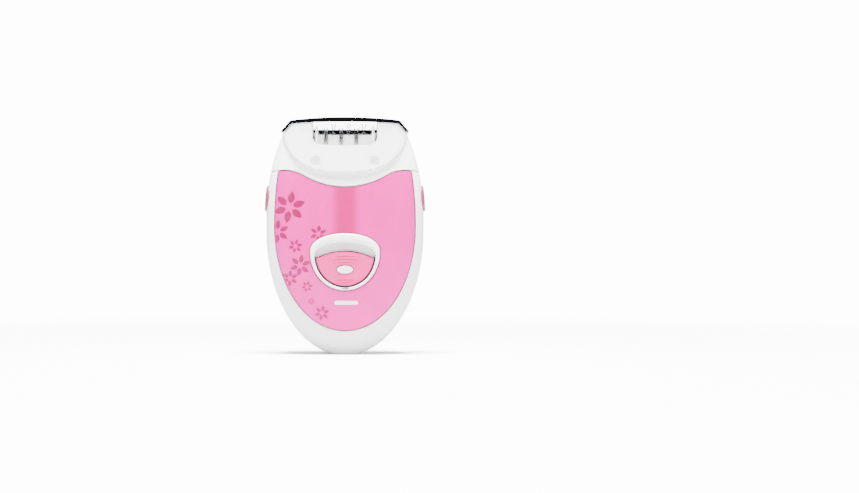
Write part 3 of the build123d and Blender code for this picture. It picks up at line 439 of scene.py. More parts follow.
def plate(
    loops, side, t0, t1, roll, steps=4, pitch=1.4, marks=(), bump=None, edges=(), joined=False, low=None,
    rim=None
):
    """Points, faces and material numbers of a curved plate between insets t0 and t1 of the form.

    Loops are in flat coordinates: the outside first, then holes. Their edges are rolled over by roll.
    Marks are pairs of a loop and the material number that its faces take. Each of edges is (test, path,
    kind): where the test holds for a loop's points, the path gives four further rings in place of a plain
    wall, and the faces as far as the first of them take the material kind. A joined plate has no wall on
    the seam. low is the least height of the inner face. rim gives the material number of a loop's rolled
    edge, from its points.
    """
    seams, normals, rolls = edge_directions(loops, side, roll, joined)

    def placed(p, t, seam):
        s = straight_in(p, t0, t, side)
        if joined:
            s = np.where(seam, np.sign(p[:, 0]), s)
        return at_share(s, p[:, 1], t, side)

    starts = [loop - n * r for loop, n, r in zip(loops, normals, rolls)]
    if joined:
        for p, seam in zip(starts, seams):
            p[seam, 0] = (np.sign(p[:, 0]) * ARC[side][-1] * spread(p[:, 1]))[seam]
    found, cells, kinds, place = triangulated(starts, marks, pitch)
    seam = on_seam(found, side, 1e-4)
    outer = placed(found, t0, seam)
    if bump:
        outer = placed(found, t0 + bump(outer), seam)
    inner = placed(found, t1, seam)
    if low is not None:
        below = found[:, 1] < low
        inner[below] = at_share(rolled_up(found, side), low + LOW_SLOPE * found[:, 1], t1, side)[below]
    count = len(found)
    rows, faces = [outer, inner], list(cells)
    faces += [tuple(i + count for i in reversed(c)) for c in cells]
    kinds += [0] * len(cells)
    total, at = 2 * count, 0
    for loop, *found_edge in zip(loops, seams, normals, rolls):
        n = len(loop)
        start = [place[at + i] for i in range(n)]
        at += n
        *walls, last = wall_rings(loop, *found_edge, placed, steps, t0, t1, edges)
        inner[start] = last
        rows += walls
        numbers = np.arange(total, total + n * len(walls)).reshape(-1, n).tolist()
        total += n * len(walls)
        rings = [start, *numbers, [i + count for i in start]]
        edge_kind = np.zeros(n, int) if rim is None else rim(loop)
        for test, _, kind in edges:
            edge_kind = np.where(test(loop), kind, edge_kind)
        between = np.minimum(edge_kind, np.roll(edge_kind, -1)).tolist()
        for k, (a, b) in enumerate(zip(rings, rings[1:])):
            faces += band(a, b)
            kinds += between if k <= steps else [0] * n
    verts = np.vstack(rows)
    if joined:
        flat = [all(abs(verts[i, 1]) < 1e-6 for i in f) for f in faces]
        faces = [f for f, drop in zip(faces, flat) if not drop]
        kinds = [k for k, drop in zip(kinds, flat) if not drop]
    return verts, faces, kinds


def front_plate(loop, t0, t1, roll, **more):
    """A plate on the front of the form, inside one front-view loop."""
    return plate([from_front(loop, t0, -1)], -1, t0, t1, roll, **more)


def triangulated(starts, marks, pitch):
    """Flat points, triangles, their material numbers (its own in a mark), and each given point's place."""
    outlines = [*starts, *(loop for loop, _ in marks)]

    def within(p):
        return inside(p, starts[0]) & ~np.any([inside(p, hole) for hole in starts[1:]], axis=0)

    first, last = starts[0].min(0), starts[0].max(0)
    across = np.arange(first[0], last[0] + pitch, pitch)
    upward = np.arange(first[1], last[1] + pitch, pitch)
    field = np.stack(np.meshgrid(across, upward), -1).reshape(-1, 2)
    keep = within(field)
    for loop in outlines:
        keep &= distance_to(field, loop) > 0.45 * pitch
    points = np.vstack([*outlines, field[keep]])
    chain, at = [], 0
    for loop in outlines:
        chain += [(at + i, at + (i + 1) % len(loop)) for i in range(len(loop))]
        at += len(loop)
    found, _, cells, origin, _, _ = delaunay_2d_cdt([Vector(p) for p in points], chain, [], 0, 1e-6)
    found = np.array([tuple(v) for v in found])
    place = {j: i for i, sources in enumerate(origin) for j in sources}
    centres = np.array([found[list(c)].mean(0) for c in cells])
    good = within(centres)
    marked = np.zeros(len(centres), int)
    for loop, kind in marks:
        marked[inside(centres, loop)] = kind
    kinds = [int(m) for m, g in zip(marked, good) if g]
    return found, [tuple(c) for c, g in zip(cells, good) if g], kinds, place


def merged(*parts):
    """Several meshes' points, faces and material numbers as one."""
    verts, faces, kinds, total = [], [], [], 0
    for v, f, k in parts:
        verts.append(v)
        faces += [tuple(i + total for i in face) for face in f]
        kinds += k
        total += len(v)
    return np.vstack(verts), faces, kinds


def swept(rings, capped=False):
    """Points and faces of rings of equal length joined one after another."""
    rows = np.arange(len(rings) * len(rings[0])).reshape(len(rings), -1).tolist()
    faces = [face for a, b in zip(rows, rows[1:]) for face in band(a, b)]
    if capped:
        faces += [tuple(reversed(rows[0])), tuple(rows[-1])]
    return np.vstack(rings), faces, [0] * len(faces)


# ---- Materials ----


class Nodes:
    """A small helper for building a material's node tree."""

    def __init__(self, name, **sockets):
        self.material = bpy.data.materials.new(name)
        self.material.use_nodes = True
        self.tree = self.material.node_tree
        self.shader = self.tree.nodes["Principled BSDF"]
        self.assign(self.shader, **sockets)

    def assign(self, node, **values):
        """Sets a node's properties, or the sockets whose names have spaces for the underscores."""
        for key, value in values.items():
            if hasattr(node, key):
                setattr(node, key, value)
            else:
                node.inputs[key.replace("_", " ")].default_value = value

    def add(self, kind, **values):
        node = self.tree.nodes.new(kind)
        self.assign(node, **values)
        return node

    def link(self, source, target):
        self.tree.links.new(source, target)

    def place(self, scale=(1, 1, 1)):
        """Object coordinates times a scale: metres in the frame, because the objects sit at its origin."""
        coordinates = self.add("ShaderNodeTexCoord")
        mapping = self.add("ShaderNodeMapping")
        mapping.inputs["Scale"].default_value = scale
        self.link(coordinates.outputs["Object"], mapping.inputs["Vector"])
        return mapping.outputs["Vector"]

    def noise(self, scale, detail, stretch=(1, 1, 1)):
        node = self.add("ShaderNodeTexNoise", Scale=scale, Detail=detail)
        self.link(self.place(stretch), node.inputs["Vector"])
        return node.outputs["Fac"]

    def ramp(self, source, stops):
        node = self.add("ShaderNodeValToRGB")
        while len(node.color_ramp.elements) < len(stops):
            node.color_ramp.elements.new(0.5)
        for element, (at, colour) in zip(node.color_ramp.elements, stops):
            element.position = at
            element.color = (*colour, 1.0)
        self.link(source, node.inputs["Fac"])
        return node.outputs["Color"]

    def fit(self, source, low, high, to_low, to_high, smooth=False):
        node = self.add("ShaderNodeMapRange")
        node.interpolation_type = "SMOOTHSTEP" if smooth else "LINEAR"
        self.assign(node, From_Min=low, From_Max=high, To_Min=to_low, To_Max=to_high)
        self.link(source, node.inputs["Value"])
        return node.outputs["Result"]

    def bump(self, source, distance, strength=1.0):
        node = self.add("ShaderNodeBump", Strength=strength, Distance=distance)
        self.link(source, node.inputs["Height"])
        self.link(node.outputs["Normal"], self.shader.inputs["Normal"])

    def combine(self, operation, first, second):
        node = self.add("ShaderNodeMath", operation=operation)
        self.link(first, node.inputs[0])
        self.link(second, node.inputs[1])
        return node.outputs["Value"]

    def along(self):
        """The X and Z coordinates."""
        split = self.add("ShaderNodeSeparateXYZ")
        self.link(self.place(), split.inputs["Vector"])
        return split.outputs["X"], split.outputs["Z"]

    def colour(self, source):
        self.link(source, self.shader.inputs["Base Color"])

    def rough(self, source):
        self.link(source, self.shader.inputs["Roughness"])


DRIFT, GRAIN, PEEL, PEEL_DEPTH = 90, 260, 420, 0.00002


def plastic(name, colour, roughness, variation, orange_peel=PEEL_DEPTH, coat=0.0, subsurface=0.0, gloss=0.5):
    """Moulded plastic: faint colour drift, uneven gloss and the soft waviness of a moulded face."""
    n = Nodes(name, Roughness=roughness, IOR=1.5, Specular_IOR_Level=gloss)
    n.assign(n.shader, Coat_Weight=coat, Coat_Roughness=0.06)
    if subsurface:
        depth = (0.004, 0.003, 0.003)
        n.assign(n.shader, Subsurface_Weight=subsurface, Subsurface_Radius=depth, Subsurface_Scale=0.5)
    dark = tuple(c * (1 - variation) for c in colour)
    n.colour(n.ramp(n.noise(DRIFT, 4), [(0.35, dark), (0.65, colour)]))
    n.rough(n.fit(n.noise(GRAIN, 5), 0.3, 0.7, roughness * 0.85, roughness * 1.2))
    n.bump(n.noise(PEEL, 2), orange_peel)
    return n.material


def metal(name, colour, roughness=0.28, stretch=(1, 1, 1), grain=900, depth=0.00001):
    """Ground or stamped metal with a directional grain."""
    n = Nodes(name, Metallic=1.0, Roughness=roughness)
    grainy = n.noise(grain, 3, stretch)
    n.colour(n.ramp(grainy, [(0.3, tuple(c * 0.88 for c in colour)), (0.7, colour)]))
    n.rough(n.fit(grainy, 0.3, 0.7, roughness * 0.8, roughness * 1.35))
    n.bump(grainy, depth, 0.5)
    return n.material


white = plastic("white_gloss", (0.90, 0.90, 0.905), 0.24, 0.012, coat=0.3, subsurface=0.06)
well = plastic("well_white", (0.80, 0.795, 0.78), 0.42, 0.02)
# Dark pink strips under the slider's ribs: painted shade.
rib_shade_pink = plastic("rib_shade", (0.17, 0.004, 0.036), 0.4, 0.05, gloss=0.12)
# Near black maroon for the slider's upper edge and the inlay's edge: painted shade.
edge_shade_maroon = plastic("painted_edge_shade", (0.006, 0.001, 0.002), 0.5, 0.1, gloss=0.1)
slider_pink = plastic("slider_pink", (0.40, 0.010, 0.115), 0.34, 0.05, gloss=0.12)
inlay = plastic("inlay_pearl", (0.93, 0.88, 0.90), 0.2, 0.03, coat=0.4)
rose = plastic("rose_button", (0.13, 0.018, 0.044), 0.34, 0.05, gloss=0.2)
# Black nylon of the inner parts, also used as painted shade behind and inside the drum.
dark = plastic("black_nylon_and_painted_shade", (0.008, 0.008, 0.009), 0.45, 0.2, 0.00003, gloss=0.3)
nylon = plastic("natural_acetal", (0.78, 0.75, 0.66), 0.36, 0.05, subsurface=0.1)
barrel = plastic("barrel_white", (0.86, 0.85, 0.82), 0.26, 0.05, subsurface=0.08)
# Steel darkened far below its own colour: painted shade and painted dark reflection in the drum.
shaded_sheet_steel = metal("tweezer_steel_painted_shade", (0.045, 0.045, 0.048), 0.32, (1, 3, 1), 700)
ground_steel = metal("ground_steel", (0.50, 0.51, 0.52), 0.22, (0.2, 1, 1), 900)
spring_steel = metal("spring_steel", (0.42, 0.43, 0.45), 0.3)
screw_steel = metal("zinc_screw", (0.52, 0.52, 0.50), 0.34, (1, 1, 1), 500)
motor_steel = metal("motor_can_steel", (0.47, 0.48, 0.49), 0.35, (0.15, 1, 1), 600)
copper = metal("copper_winding", (0.62, 0.24, 0.10), 0.35, (1, 12, 12), 300, 0.0001)
bronze = metal("sintered_bronze", (0.50, 0.30, 0.12), 0.45, (1, 1, 1), 1500, 0.00003)
brass = metal("brass", (0.66, 0.44, 0.14), 0.25)
sleeve = plastic("cell_sleeve", (0.03, 0.20, 0.10), 0.25, 0.1, coat=0.3)
board = plastic("circuit_board", (0.01, 0.10, 0.04), 0.35, 0.25, 0.00005)
chip = plastic("chip_black", (0.015, 0.015, 0.015), 0.5, 0.2)
lead = plastic("lead_red", (0.45, 0.02, 0.02), 0.4, 0.1)
smoked = plastic("smoked_lens", (0.03, 0.03, 0.035), 0.12, 0.1, coat=0.5)

PANEL_PINK, BAND_PINK, PETAL_PINK = (0.37, 0.001, 0.142), (0.25, 0.0001, 0.070), (0.145, 0.0001, 0.040)
BAND_LEFT, BAND_RIGHT, BAND_FOOT = (-0.0078, -0.0022), (0.0028, 0.0078), (0.050, 0.058)


def panel_material():
    """Pink cover plate, with a darker band down its middle that fades at its edges and at its foot."""
    n = Nodes("panel_pink", Roughness=0.2, IOR=1.5, Specular_IOR_Level=0.10)
    x, z = n.along()
    rise = n.fit(x, *BAND_LEFT, 0.0, 1.0, smooth=True)
    fall = n.fit(x, *BAND_RIGHT, 1.0, 0.0, smooth=True)
    above = n.fit(z, *BAND_FOOT, 0.0, 1.0, smooth=True)
    band = n.combine("MULTIPLY", n.combine("MULTIPLY", rise, fall), above)
    base = n.ramp(n.noise(60, 3), [(0.3, PANEL_PINK), (0.7, tuple(1.03 * c for c in PANEL_PINK))])
    mix = n.add("ShaderNodeMix", data_type="RGBA")
    mix.inputs["B"].default_value = (*BAND_PINK, 1)
    n.link(band, mix.inputs["Factor"])
    n.link(base, mix.inputs["A"])
    n.colour(mix.outputs["Result"])
    n.rough(n.fit(n.noise(GRAIN, 5), 0.3, 0.7, 0.17, 0.24))
    n.bump(n.noise(PEEL, 2), PEEL_DEPTH)
    return n.material


panel_pink = panel_material()
petal_pink = plastic("petal_print", PETAL_PINK, 0.25, 0.08, gloss=0.10)
mark_white = plastic("mark_print", (0.94, 0.90, 0.92), 0.25, 0.02, coat=0.3)
line_dark = plastic("shadow_line", (0.012, 0.010, 0.011), 0.5, 0.1, gloss=0.1)
line_grey = plastic("soft_shadow_line", (0.17, 0.165, 0.165), 0.5, 0.1, gloss=0.2)
# Dark pink for the panel's rolled edges: painted shade along the edge.
panel_edge_shade_pink = plastic("panel_edge_shade", (0.085, 0.004, 0.028), 0.4, 0.05, gloss=0.15)

WELL_SHADE = (0.0462, 0.0468)


def well_floor_material():
    """The well's floor: white where it shows above the slider, near black under it as painted shade that
    shows in the gap round the slider.
    """
    n = Nodes("well_floor", Roughness=0.45)
    height = n.fit(n.along()[1], *WELL_SHADE, 0.0, 1.0)
    n.colour(n.ramp(height, [(0.0, (0.02, 0.005, 0.01)), (1.0, (0.90, 0.895, 0.88))]))
    n.bump(n.noise(PEEL, 2), PEEL_DEPTH)
    return n.material


def clear_plastic():
    """Clear polycarbonate, faintly grey through its thickness."""
    tint = (0.985, 0.985, 0.99, 1)
    n = Nodes("clear_polycarbonate", Roughness=0.02, IOR=1.36, Transmission_Weight=1.0, Base_Color=tint)
    n.rough(n.fit(n.noise(300, 3), 0.3, 0.7, 0.01, 0.035))
    return n.material


clear = clear_plastic()
# Near black for the cap's top edge: a painted dark reflection in the clear plastic.
cap_reflection_black = plastic("cap_painted_reflection", (0.0008, 0.0008, 0.001), 0.7, 0.2, 0.00001, gloss=0.0)

FINISH = (
    (well, ("neck_frame",)),
    (well_floor_material(), ("switch_floor",)),
    # head_frame and drum_shield take black as painted shade behind the drum; the other parts are black
    # nylon.
    (dark, ("motor_end_bell", "battery_tray", "head_frame", "drum_shield", "power_jack", "switch_carriage")),
    (motor_steel, ("motor_can",)),
    (copper, ("motor_armature",)),
    (lead, ("motor_leads",)),
    (brass, ("motor_terminals", "motor_pinion")),
    (bronze, ("bearing_bushes",)),
    (nylon, ("compound_gear", "output_gear", "drum_gear")),
    (ground_steel, ("gear_frame", "motor_shaft", "gear_axles", "drum_shaft", "roller_pins")),
    (ground_steel, ("left_cam_roller", "right_cam_roller")),
    (sleeve, ("lower_battery_cell", "upper_battery_cell")),
    (screw_steel, ("case_screws", "frame_screws", "motor_screws", "head_screws")),
    (spring_steel, ("left_latch_arm", "right_latch_arm")),
    (shaded_sheet_steel, ("battery_contacts", "tweezer_stars", *(f"tweezer_comb_{i}" for i in range(1, 7)))),
    (barrel, ("drum_end_discs",)),
    (board, ("circuit_board",)),
    (chip, ("circuit_components", "slide_switch")),
    (smoked, ("indicator_lens",)),
)
for material, names in FINISH:
    for name in names:
        for entry in nodes[name].material_slots:
            entry.material = material

# ---- Handle ----


def egg_run(shape, grow, lift, step):
    """The part of an egg below the parting curve, anticlockwise from its left end."""
    loop = egg(shape, grow, 0.25)
    under = loop[:, 1] < parting_at(loop[:, 0], lift)
    start = int(np.argmax(under & ~np.roll(under, 1)))
    loop, under = np.roll(loop, -start, axis=0), np.roll(under, -start)
    return resample(loop[: int(np.argmin(under))], step)


def egg_below(shape, grow, lift, step=0.7):
    """An egg cut off along the parting curve, as a front-view loop, anticlockwise."""
    run = egg_run(shape, grow, lift, step)
    return np.vstack([run, parting_between(run[-1][0], run[0][0], lift, step)])


def ring_between(name, outer, inner, body, materials, steps=5):
    """A raised ring between two front-view loops of equal length, with walls down to the well's floor."""
    out_n = outward(outer, np.zeros(len(outer), bool))
    in_n = outward(inner, np.zeros(len(inner), bool))

    def wall(p):
        return np.stack([p[:, 0], np.full(len(p), WELL_FLOOR), p[:, 1]], -1)

    def rolled(p, inwards, k):
        a = 0.5 * math.pi * k / steps
        p = p + inwards * RING_ROLL * (1 - math.cos(a))
        return on_form(p[:, 0], p[:, 1], RING_OUT + RING_ROLL * (1 - math.sin(a)), -1)

    rings = [wall(outer), *(rolled(outer, -out_n, k) for k in range(steps + 1))]
    a0, a1 = outer - out_n * RING_ROLL, inner + in_n * RING_ROLL
    for k in range(1, 6):
        f = k / 6
        p = a0 * (1 - f) + a1 * f
        rings.append(on_form(p[:, 0], p[:, 1], RING_OUT - RING_CROWN * math.sin(math.pi * f), -1))
    rings += [*(rolled(inner, in_n, k) for k in range(steps, -1, -1)), wall(inner)]
    verts, faces, kinds = swept(rings + [rings[0]])
    count, last = len(outer), len(rings) - 1
    # The ring's inner rolled edge takes painted shadow: near black on its lower part, grey and narrower on
    # its upper part.
    lower = inner[:, 1] < WELL_RIM_SHADOW_BELOW
    first = np.where(lower, last - steps, last - steps + 2)
    for k in range(last - steps, last):
        for i in range(count):
            if k >= first[i]:
                kinds[k * count + i] = 1 if lower[i] else 2
    return finish_mesh(name, verts, faces, kinds, body, materials, sharp=50)


def notched_seam(way, z0, z1, side):
    """A silhouette line from z0 to z1 with a half-oval notch for the release button."""
    half_y, half_z = BUTTON_HALF[0] + BUTTON_GAP, BUTTON_HALF[1] + BUTTON_GAP
    turn = 1 if z1 > z0 else -1
    a = np.radians(np.linspace(-90, 90, 25)) * turn
    z = BUTTON_Z + half_z * np.sin(a)
    notch = unrolled(way * flank_place(half_y * np.cos(a), z, 0.0, side), z, side)
    before = seam_line(way, z0, BUTTON_Z - half_z * turn, side)
    after = seam_line(way, BUTTON_Z + half_z * turn, z1, side)
    return np.vstack([before[:-1], notch, after[1:]])


def base_line(side):
    """The base's edge, from left to right."""
    return unrolled(np.linspace(-1, 1, 31), np.zeros(31), side)


def silhouette_top(lift):
    """The height where the parting curve meets the silhouette."""
    x = np.linspace(*FLANK_RANGE, 400)
    line = parting_at(x, lift)
    width, _ = extents(line, 0)
    return float(line[np.argmin(np.abs(width - x))])


def base_edges(side):
    """Turns the base's edge in to the hole round the charging socket, then up to the inside."""

    def path(p, wall):
        angle = rolled_up(p, side) * math.pi / 2
        hole = SOCKET_HOLE * np.stack([np.sin(angle), side * np.cos(angle), np.zeros(len(p))], -1)
        inner = at_share(rolled_up(p, side), np.full(len(p), FLOOR_Z), WALL, side)
        return wall, hole, hole + (0, 0, SOCKET_DEPTH), inner

    return (lambda p: p[:, 1] < 0.01, path, 0)


def handle_shell(side):
    """Front or rear half of the handle."""
    lift = -SEAM / 2
    top = silhouette_top(lift)
    half = extents(top, 0)[0].item()
    left, right = notched_seam(-1, top, 0.0, side), notched_seam(1, 0.0, top, side)
    loops = []
    if side > 0:
        rim = [from_front(parting_between(half, -half, lift), 0, side)[1:-1]]
        loops = [from_front(arc(x, z, SCREW_HOLE, 0, 360, 32)[:-1], 0, side) for x, z in CASE_SCREWS]
    else:
        run = egg_run(PANEL_EGG, PANEL_GAP, lift, 0.8)
        rim_right = from_front(parting_between(half, run[-1][0], lift), 0, side)[1:-1]
        rim_left = from_front(parting_between(run[0][0], -half, lift), 0, side)[1:-1]
        rim = [rim_right, from_front(run[::-1], 0, side), rim_left]
    loop = np.vstack([left[:-1], base_line(side), right[1:], *rim])
    return plate([loop, *loops], side, 0, WALL, CASE_ROLL, edges=[base_edges(side)], low=FLOOR_Z)


front_skin = handle_shell(-1)
bed_outline = from_front(egg_below(PANEL_EGG, BED_GROW, -SEAM / 2), 0, -1)
bezel_hole = from_front(egg(BEZEL_EGG, BEZEL_GAP), 0, -1)
bed = plate([bed_outline, bezel_hole], -1, BED_OUT, WALL, BED_ROLL, 1)
front = finish_mesh("front_case", *merged(front_skin, bed), "handle", [white])
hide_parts("front_shell")


def screw_post(x, z, bore=SCREW_HOLE, outer=3.4, shank=1.2, seat=7.0, foot=0.1, bury=1.9, count=40):
    """A tubular post inside the rear case, with a counterbore, that ends inside the wall."""
    a = round_angles(count)

    def ring(radius, height=None):
        px, pz = x + radius * np.cos(a), z + radius * np.sin(a)
        y = on_form(px, pz, bury, 1)[:, 1] if height is None else np.full(count, height)
        return np.stack([px, y, pz], -1)

    path = ((bore, seat), (bore,), (outer,), (outer, foot), (shank, foot), (shank, seat), (bore, seat))
    return swept([ring(*step) for step in path])


posts = [screw_post(x, z) for x, z in CASE_SCREWS]
rear = finish_mesh("rear_case", *merged(handle_shell(1), *posts), "handle", [white])
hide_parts("rear_shell")

# ---- Printed flowers ----


def petal(length, width, count=10):
    """One petal pointing along +X from the origin, widest past its middle and pointed at its tip."""
    upper = curve((0, 0), (0.15, 0.55), (0.55, 0.75), (1, 0), count=count) * (length, width)
    lower = upper[::-1] * (1, -1)
    return np.vstack([upper, lower[1:-1]])


PETAL_START, PETAL_LENGTH, PETAL_WIDTH = 0.24, 0.78, 0.44
PRINT_TO_EDGE, PRINT_TO_RING = PANEL_ROLL + 0.13, PANEL_ROLL + 0.08
# Each flower's centre (x, z), size, and the direction of its first petal in degrees.
FLOWERS = (
    (-26.3, 70.1, 7.6, 79), (-32.1, 58.4, 5.6, 85), (-23.5, 51.6, 3.4, 75), (-12.6, 57.4, 4.1, 85),
    (-21.2, 42.5, 5.0, 80), (-26.1, 36.3, 3.9, 86), (-17.9, 32.5, 2.7, 70), (-15.9, 25.5, 1.7, 80),
    (-10.9, 19.9, 3.6, 78),
)


def clipped(loop, keep):
    """A loop cut by a front-view test that is positive inside; straight cuts between its points."""
    value = keep(loop)
    out = []
    for i in range(len(loop)):
        j = (i + 1) % len(loop)
        if value[i] > 0:
            out.append(loop[i])
        if (value[i] > 0) != (value[j] > 0):
            f = value[i] / (value[i] - value[j])
            out.append(loop[i] + (loop[j] - loop[i]) * f)
    return np.array(out)


def signed_gap(loop, sign, margin):
    """How far points lie inside (sign 1) or outside (sign -1) a loop, less a margin."""

    def test(p):
        d = distance_to(p, loop)
        return sign * np.where(inside(p, loop), d, -d) - margin

    return test


def flower_marks():
    """The flowers' petals as front-view loops, cut off where the panel ends."""
    edge = signed_gap(egg_below(PANEL_EGG, 0, -SEAM / 2), 1, PRINT_TO_EDGE)
    ring = signed_gap(egg(BEZEL_EGG, BEZEL_GAP), -1, PRINT_TO_RING)
    marks = []
    for x, z, size, turn in FLOWERS:
        for k in range(6):
            a = math.radians(turn + 60 * k)
            shape = petal(size * PETAL_LENGTH, size * PETAL_WIDTH) + (size * PETAL_START, 0)
            spin = np.array([[math.cos(a), math.sin(a)], [-math.sin(a), math.cos(a)]])
            loop = clipped(shape @ spin + (x, z), edge)
            if len(loop) > 2:
                loop = clipped(loop, ring)
            if len(loop) > 4:
                loop = loop[np.linalg.norm(loop - np.roll(loop, 1, axis=0), axis=1) > 0.02]
            if len(loop) > 4:
                marks.append(loop)
    return marks


def plain_mark():
    """A plain white lozenge with round ends, under the switch."""
    half, radius = MARK_HALF
    right = arc(MARK[0] + half - radius, MARK[1], radius, -90, 90, 16)
    left = arc(MARK[0] - half + radius, MARK[1], radius, 90, 270, 16)
    return resample(np.vstack([right, left]), 0.4, closed=True)


panel_loop = from_front(egg_below(PANEL_EGG, 0, -SEAM / 2), 0, -1)
printed = [(from_front(loop, 0, -1), 1) for loop in flower_marks()] + [(from_front(plain_mark(), 0, -1), 3)]
# The panel's rolled edges take the dark pink of the third material as painted shade.
panel = plate(
    [panel_loop, bezel_hole], -1, 0.0, PANEL_IN, PANEL_ROLL, marks=printed, pitch=1.1,
    rim=lambda p: np.full(len(p), 2),
)
panel = finish_mesh("cover_panel", *panel, "handle", [panel_pink, petal_pink, panel_edge_shade_pink, mark_white])
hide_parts("front_panel")

# ---- Thumb switch ----

ring_loops = [resample(egg(shape, 0, 0.1), None, True, pieces=160) for shape in (BEZEL_EGG, WELL_EGG)]
bezel = ring_between("switch_ring", *ring_loops, "handle", [white, line_dark, line_grey])
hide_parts("switch_bezel")

upper_bow = curve((-2.3, 0.25), (-0.9, 0.62), (0.9, 0.62), (2.3, 0.25))
lower_bow = curve((2.3, 0.25), (0.8, -0.5), (-0.8, -0.5), (-2.3, 0.25))
crescent = resample(np.vstack([upper_bow, lower_bow[1:-1]]) + INDICATOR, 0.2, True)
indicator = front_plate(crescent, LENS_OUT, LENS_IN, LENS_ROLL, pitch=0.3)
indicator = finish_mesh("indicator_window", *indicator, "handle", [smoked])
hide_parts("indicator_lens")


def slider_loop():
    """The slider's outline: the well's egg less a gap, cut off along a bow at its top."""
    radius = bow_radius(SLIDER_BOW_SIDE[0], SLIDER_TOP - SLIDER_BOW_SIDE[1])

    def under(p):
        return bow_height(p[:, 0], SLIDER_TOP, radius) - p[:, 1]

    loop = clipped(egg(WELL_EGG, -SLIDER_GAP, 0.15), under)
    start = int(np.argmax((loop[:, 0] > 0) & (np.abs(under(loop)) < 1e-3)))
    loop = np.roll(loop, -start, axis=0)
    x = np.linspace(loop[0][0], loop[1][0], 40)[1:-1]
    bow = np.stack([x, bow_height(x, SLIDER_TOP, radius)], -1)
    loop = resample(np.vstack([loop[0], bow, loop[1:]]), 0.35, True)
    for _ in range(3):
        loop = 0.5 * loop + 0.25 * (np.roll(loop, 1, axis=0) + np.roll(loop, -1, axis=0))
    return loop


# Each rib's height, half length, and rise in its middle.
RIBS = ((47.1, 4.6, 0.3), (45.7, 5.6, 0.3), (44.3, 4.8, 0.3), (36.6, 4.6, -0.3), (35.0, 3.6, -0.3))
RIB_HALF, RIB_HEIGHT, RIB_SHADE_BELOW, RIB_SHADE_HALF = 0.42, 0.3, 0.5, 0.2


def ribs(p):
    """Raised half-round ribs above and below the slider's inlay."""
    x, z = p[:, 0], p[:, 2]
    height = np.zeros(len(p))
    for centre, half, bow in RIBS:
        line = centre + bow * (1 - (x / half) ** 2)
        away = np.hypot(z - line, np.maximum(np.abs(x) - half, 0))
        height = np.maximum(height, np.sqrt(np.maximum(0, 1 - (away / RIB_HALF) ** 2)) * RIB_HEIGHT)
    return -height


def rib_marks():
    """Painted shade just below each rib, as slim pointed strips."""
    marks = []
    for centre, half, bow in RIBS:
        x = np.linspace(-half, half, 30)
        middle = centre - RIB_SHADE_BELOW + bow * (1 - (x / half) ** 2)
        slim = RIB_SHADE_HALF * np.sqrt(np.maximum(1 - (x / half) ** 2, 0))
        upper, lower = np.stack([x, middle + slim], -1), np.stack([x, middle - slim], -1)
        marks.append((from_front(np.vstack([lower, upper[1:-1][::-1]]), SLIDER_OUT, -1), 1))
    return marks


# The slider's rolled edge along its top takes painted shade in near black maroon.
slider = front_plate(
    slider_loop(), SLIDER_OUT, SLIDER_IN, SLIDER_ROLL, pitch=0.24, bump=ribs, marks=rib_marks(),
    rim=lambda p: (p[:, 1] > SLIDER_SHADED_RIM_ABOVE) * 2,
)
slider = finish_mesh("thumb_slider", *slider, "slider", [slider_pink, rib_shade_pink, edge_shade_maroon])
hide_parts("switch_button")

turn = round_angles(48)
oval = np.stack([INLAY_HALF[0] * np.cos(turn), INLAY_Z + INLAY_HALF[1] * np.sin(turn)], -1)
# The inlay's rolled edge takes the same painted shade.
pearl = front_plate(oval, INLAY_OUT, INLAY_IN, INLAY_ROLL, pitch=0.5, rim=lambda p: np.ones(len(p), int))
pearl = finish_mesh("slider_inlay", *pearl, "slider", [inlay, edge_shade_maroon])
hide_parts("switch_window")

# ---- Release buttons ----


def release_pad(way, name, node):
    """A rounded oval pad on the flank, with its retaining flange inside."""
    a = round_angles(64)

    def ring(shrink, t):
        y = (BUTTON_HALF[0] - shrink) * np.cos(a)
        z = BUTTON_Z + (BUTTON_HALF[1] - shrink) * np.sin(a)
        return on_flank(y, z, t, way)

    rings = []
    for k in range(9, 0, -1):
        f = k / 9
        rings.append(ring((BUTTON_HALF[0] - PAD_ROLL) * f * 0.995 + PAD_ROLL, PAD_OUT - PAD_CROWN * f))
    for k in range(6):
        b = 0.5 * math.pi * k / 5
        rings.append(ring(PAD_ROLL * (1 - math.sin(b)), PAD_OUT + PAD_ROLL * (1 - math.cos(b))))
    rings += [ring(0.0, FLANGE_OUT - 0.05), ring(-FLANGE, FLANGE_OUT)]
    rings += [ring(-FLANGE, FLANGE_IN), ring(PAD_BORE, FLANGE_IN)]
    return finish_mesh(name, *swept(rings, capped=True), node, [rose], sharp=55)


for way, side_name in SIDE_NAME.items():
    pad = release_pad(way, f"{side_name}_release_pad", f"{side_name}_button")
    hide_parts(f"{side_name}_release_button")

# ---- Head ----


TOP_REACH, TOP_FOOT = 12.0, 100.0


def profile_line(grow, step):
    """The head's outline from the right chamfer's foot over the top to the left one, seen from the front."""
    x = HEAD_CORNER[0] + grow * (1 - math.cos(CHAMFER)) / math.sin(CHAMFER)
    z, top = HEAD_CORNER[1] + grow, HEAD_TOP + grow
    xs = np.linspace(x, -x, int(2 * x / step))
    bow = np.stack([xs, bow_height(xs, top, bow_radius(x, top - z))], -1)
    k = np.linspace(TOP_REACH, 0, int(TOP_REACH / step) + 1)[:-1]
    right = np.stack([x + k * math.cos(CHAMFER), z - k * math.sin(CHAMFER)], -1)
    return np.vstack([right, bow, right[::-1] * (-1, 1)])


def profile_in_form(grow, t):
    """The part of the outline inside the form's silhouette, with its ends on the silhouette."""
    line = resample(profile_line(grow, 0.1), 0.05)
    width, _ = extents(line[:, 1], t)
    return resample(line[np.abs(line[:, 0]) <= width], 0.8)


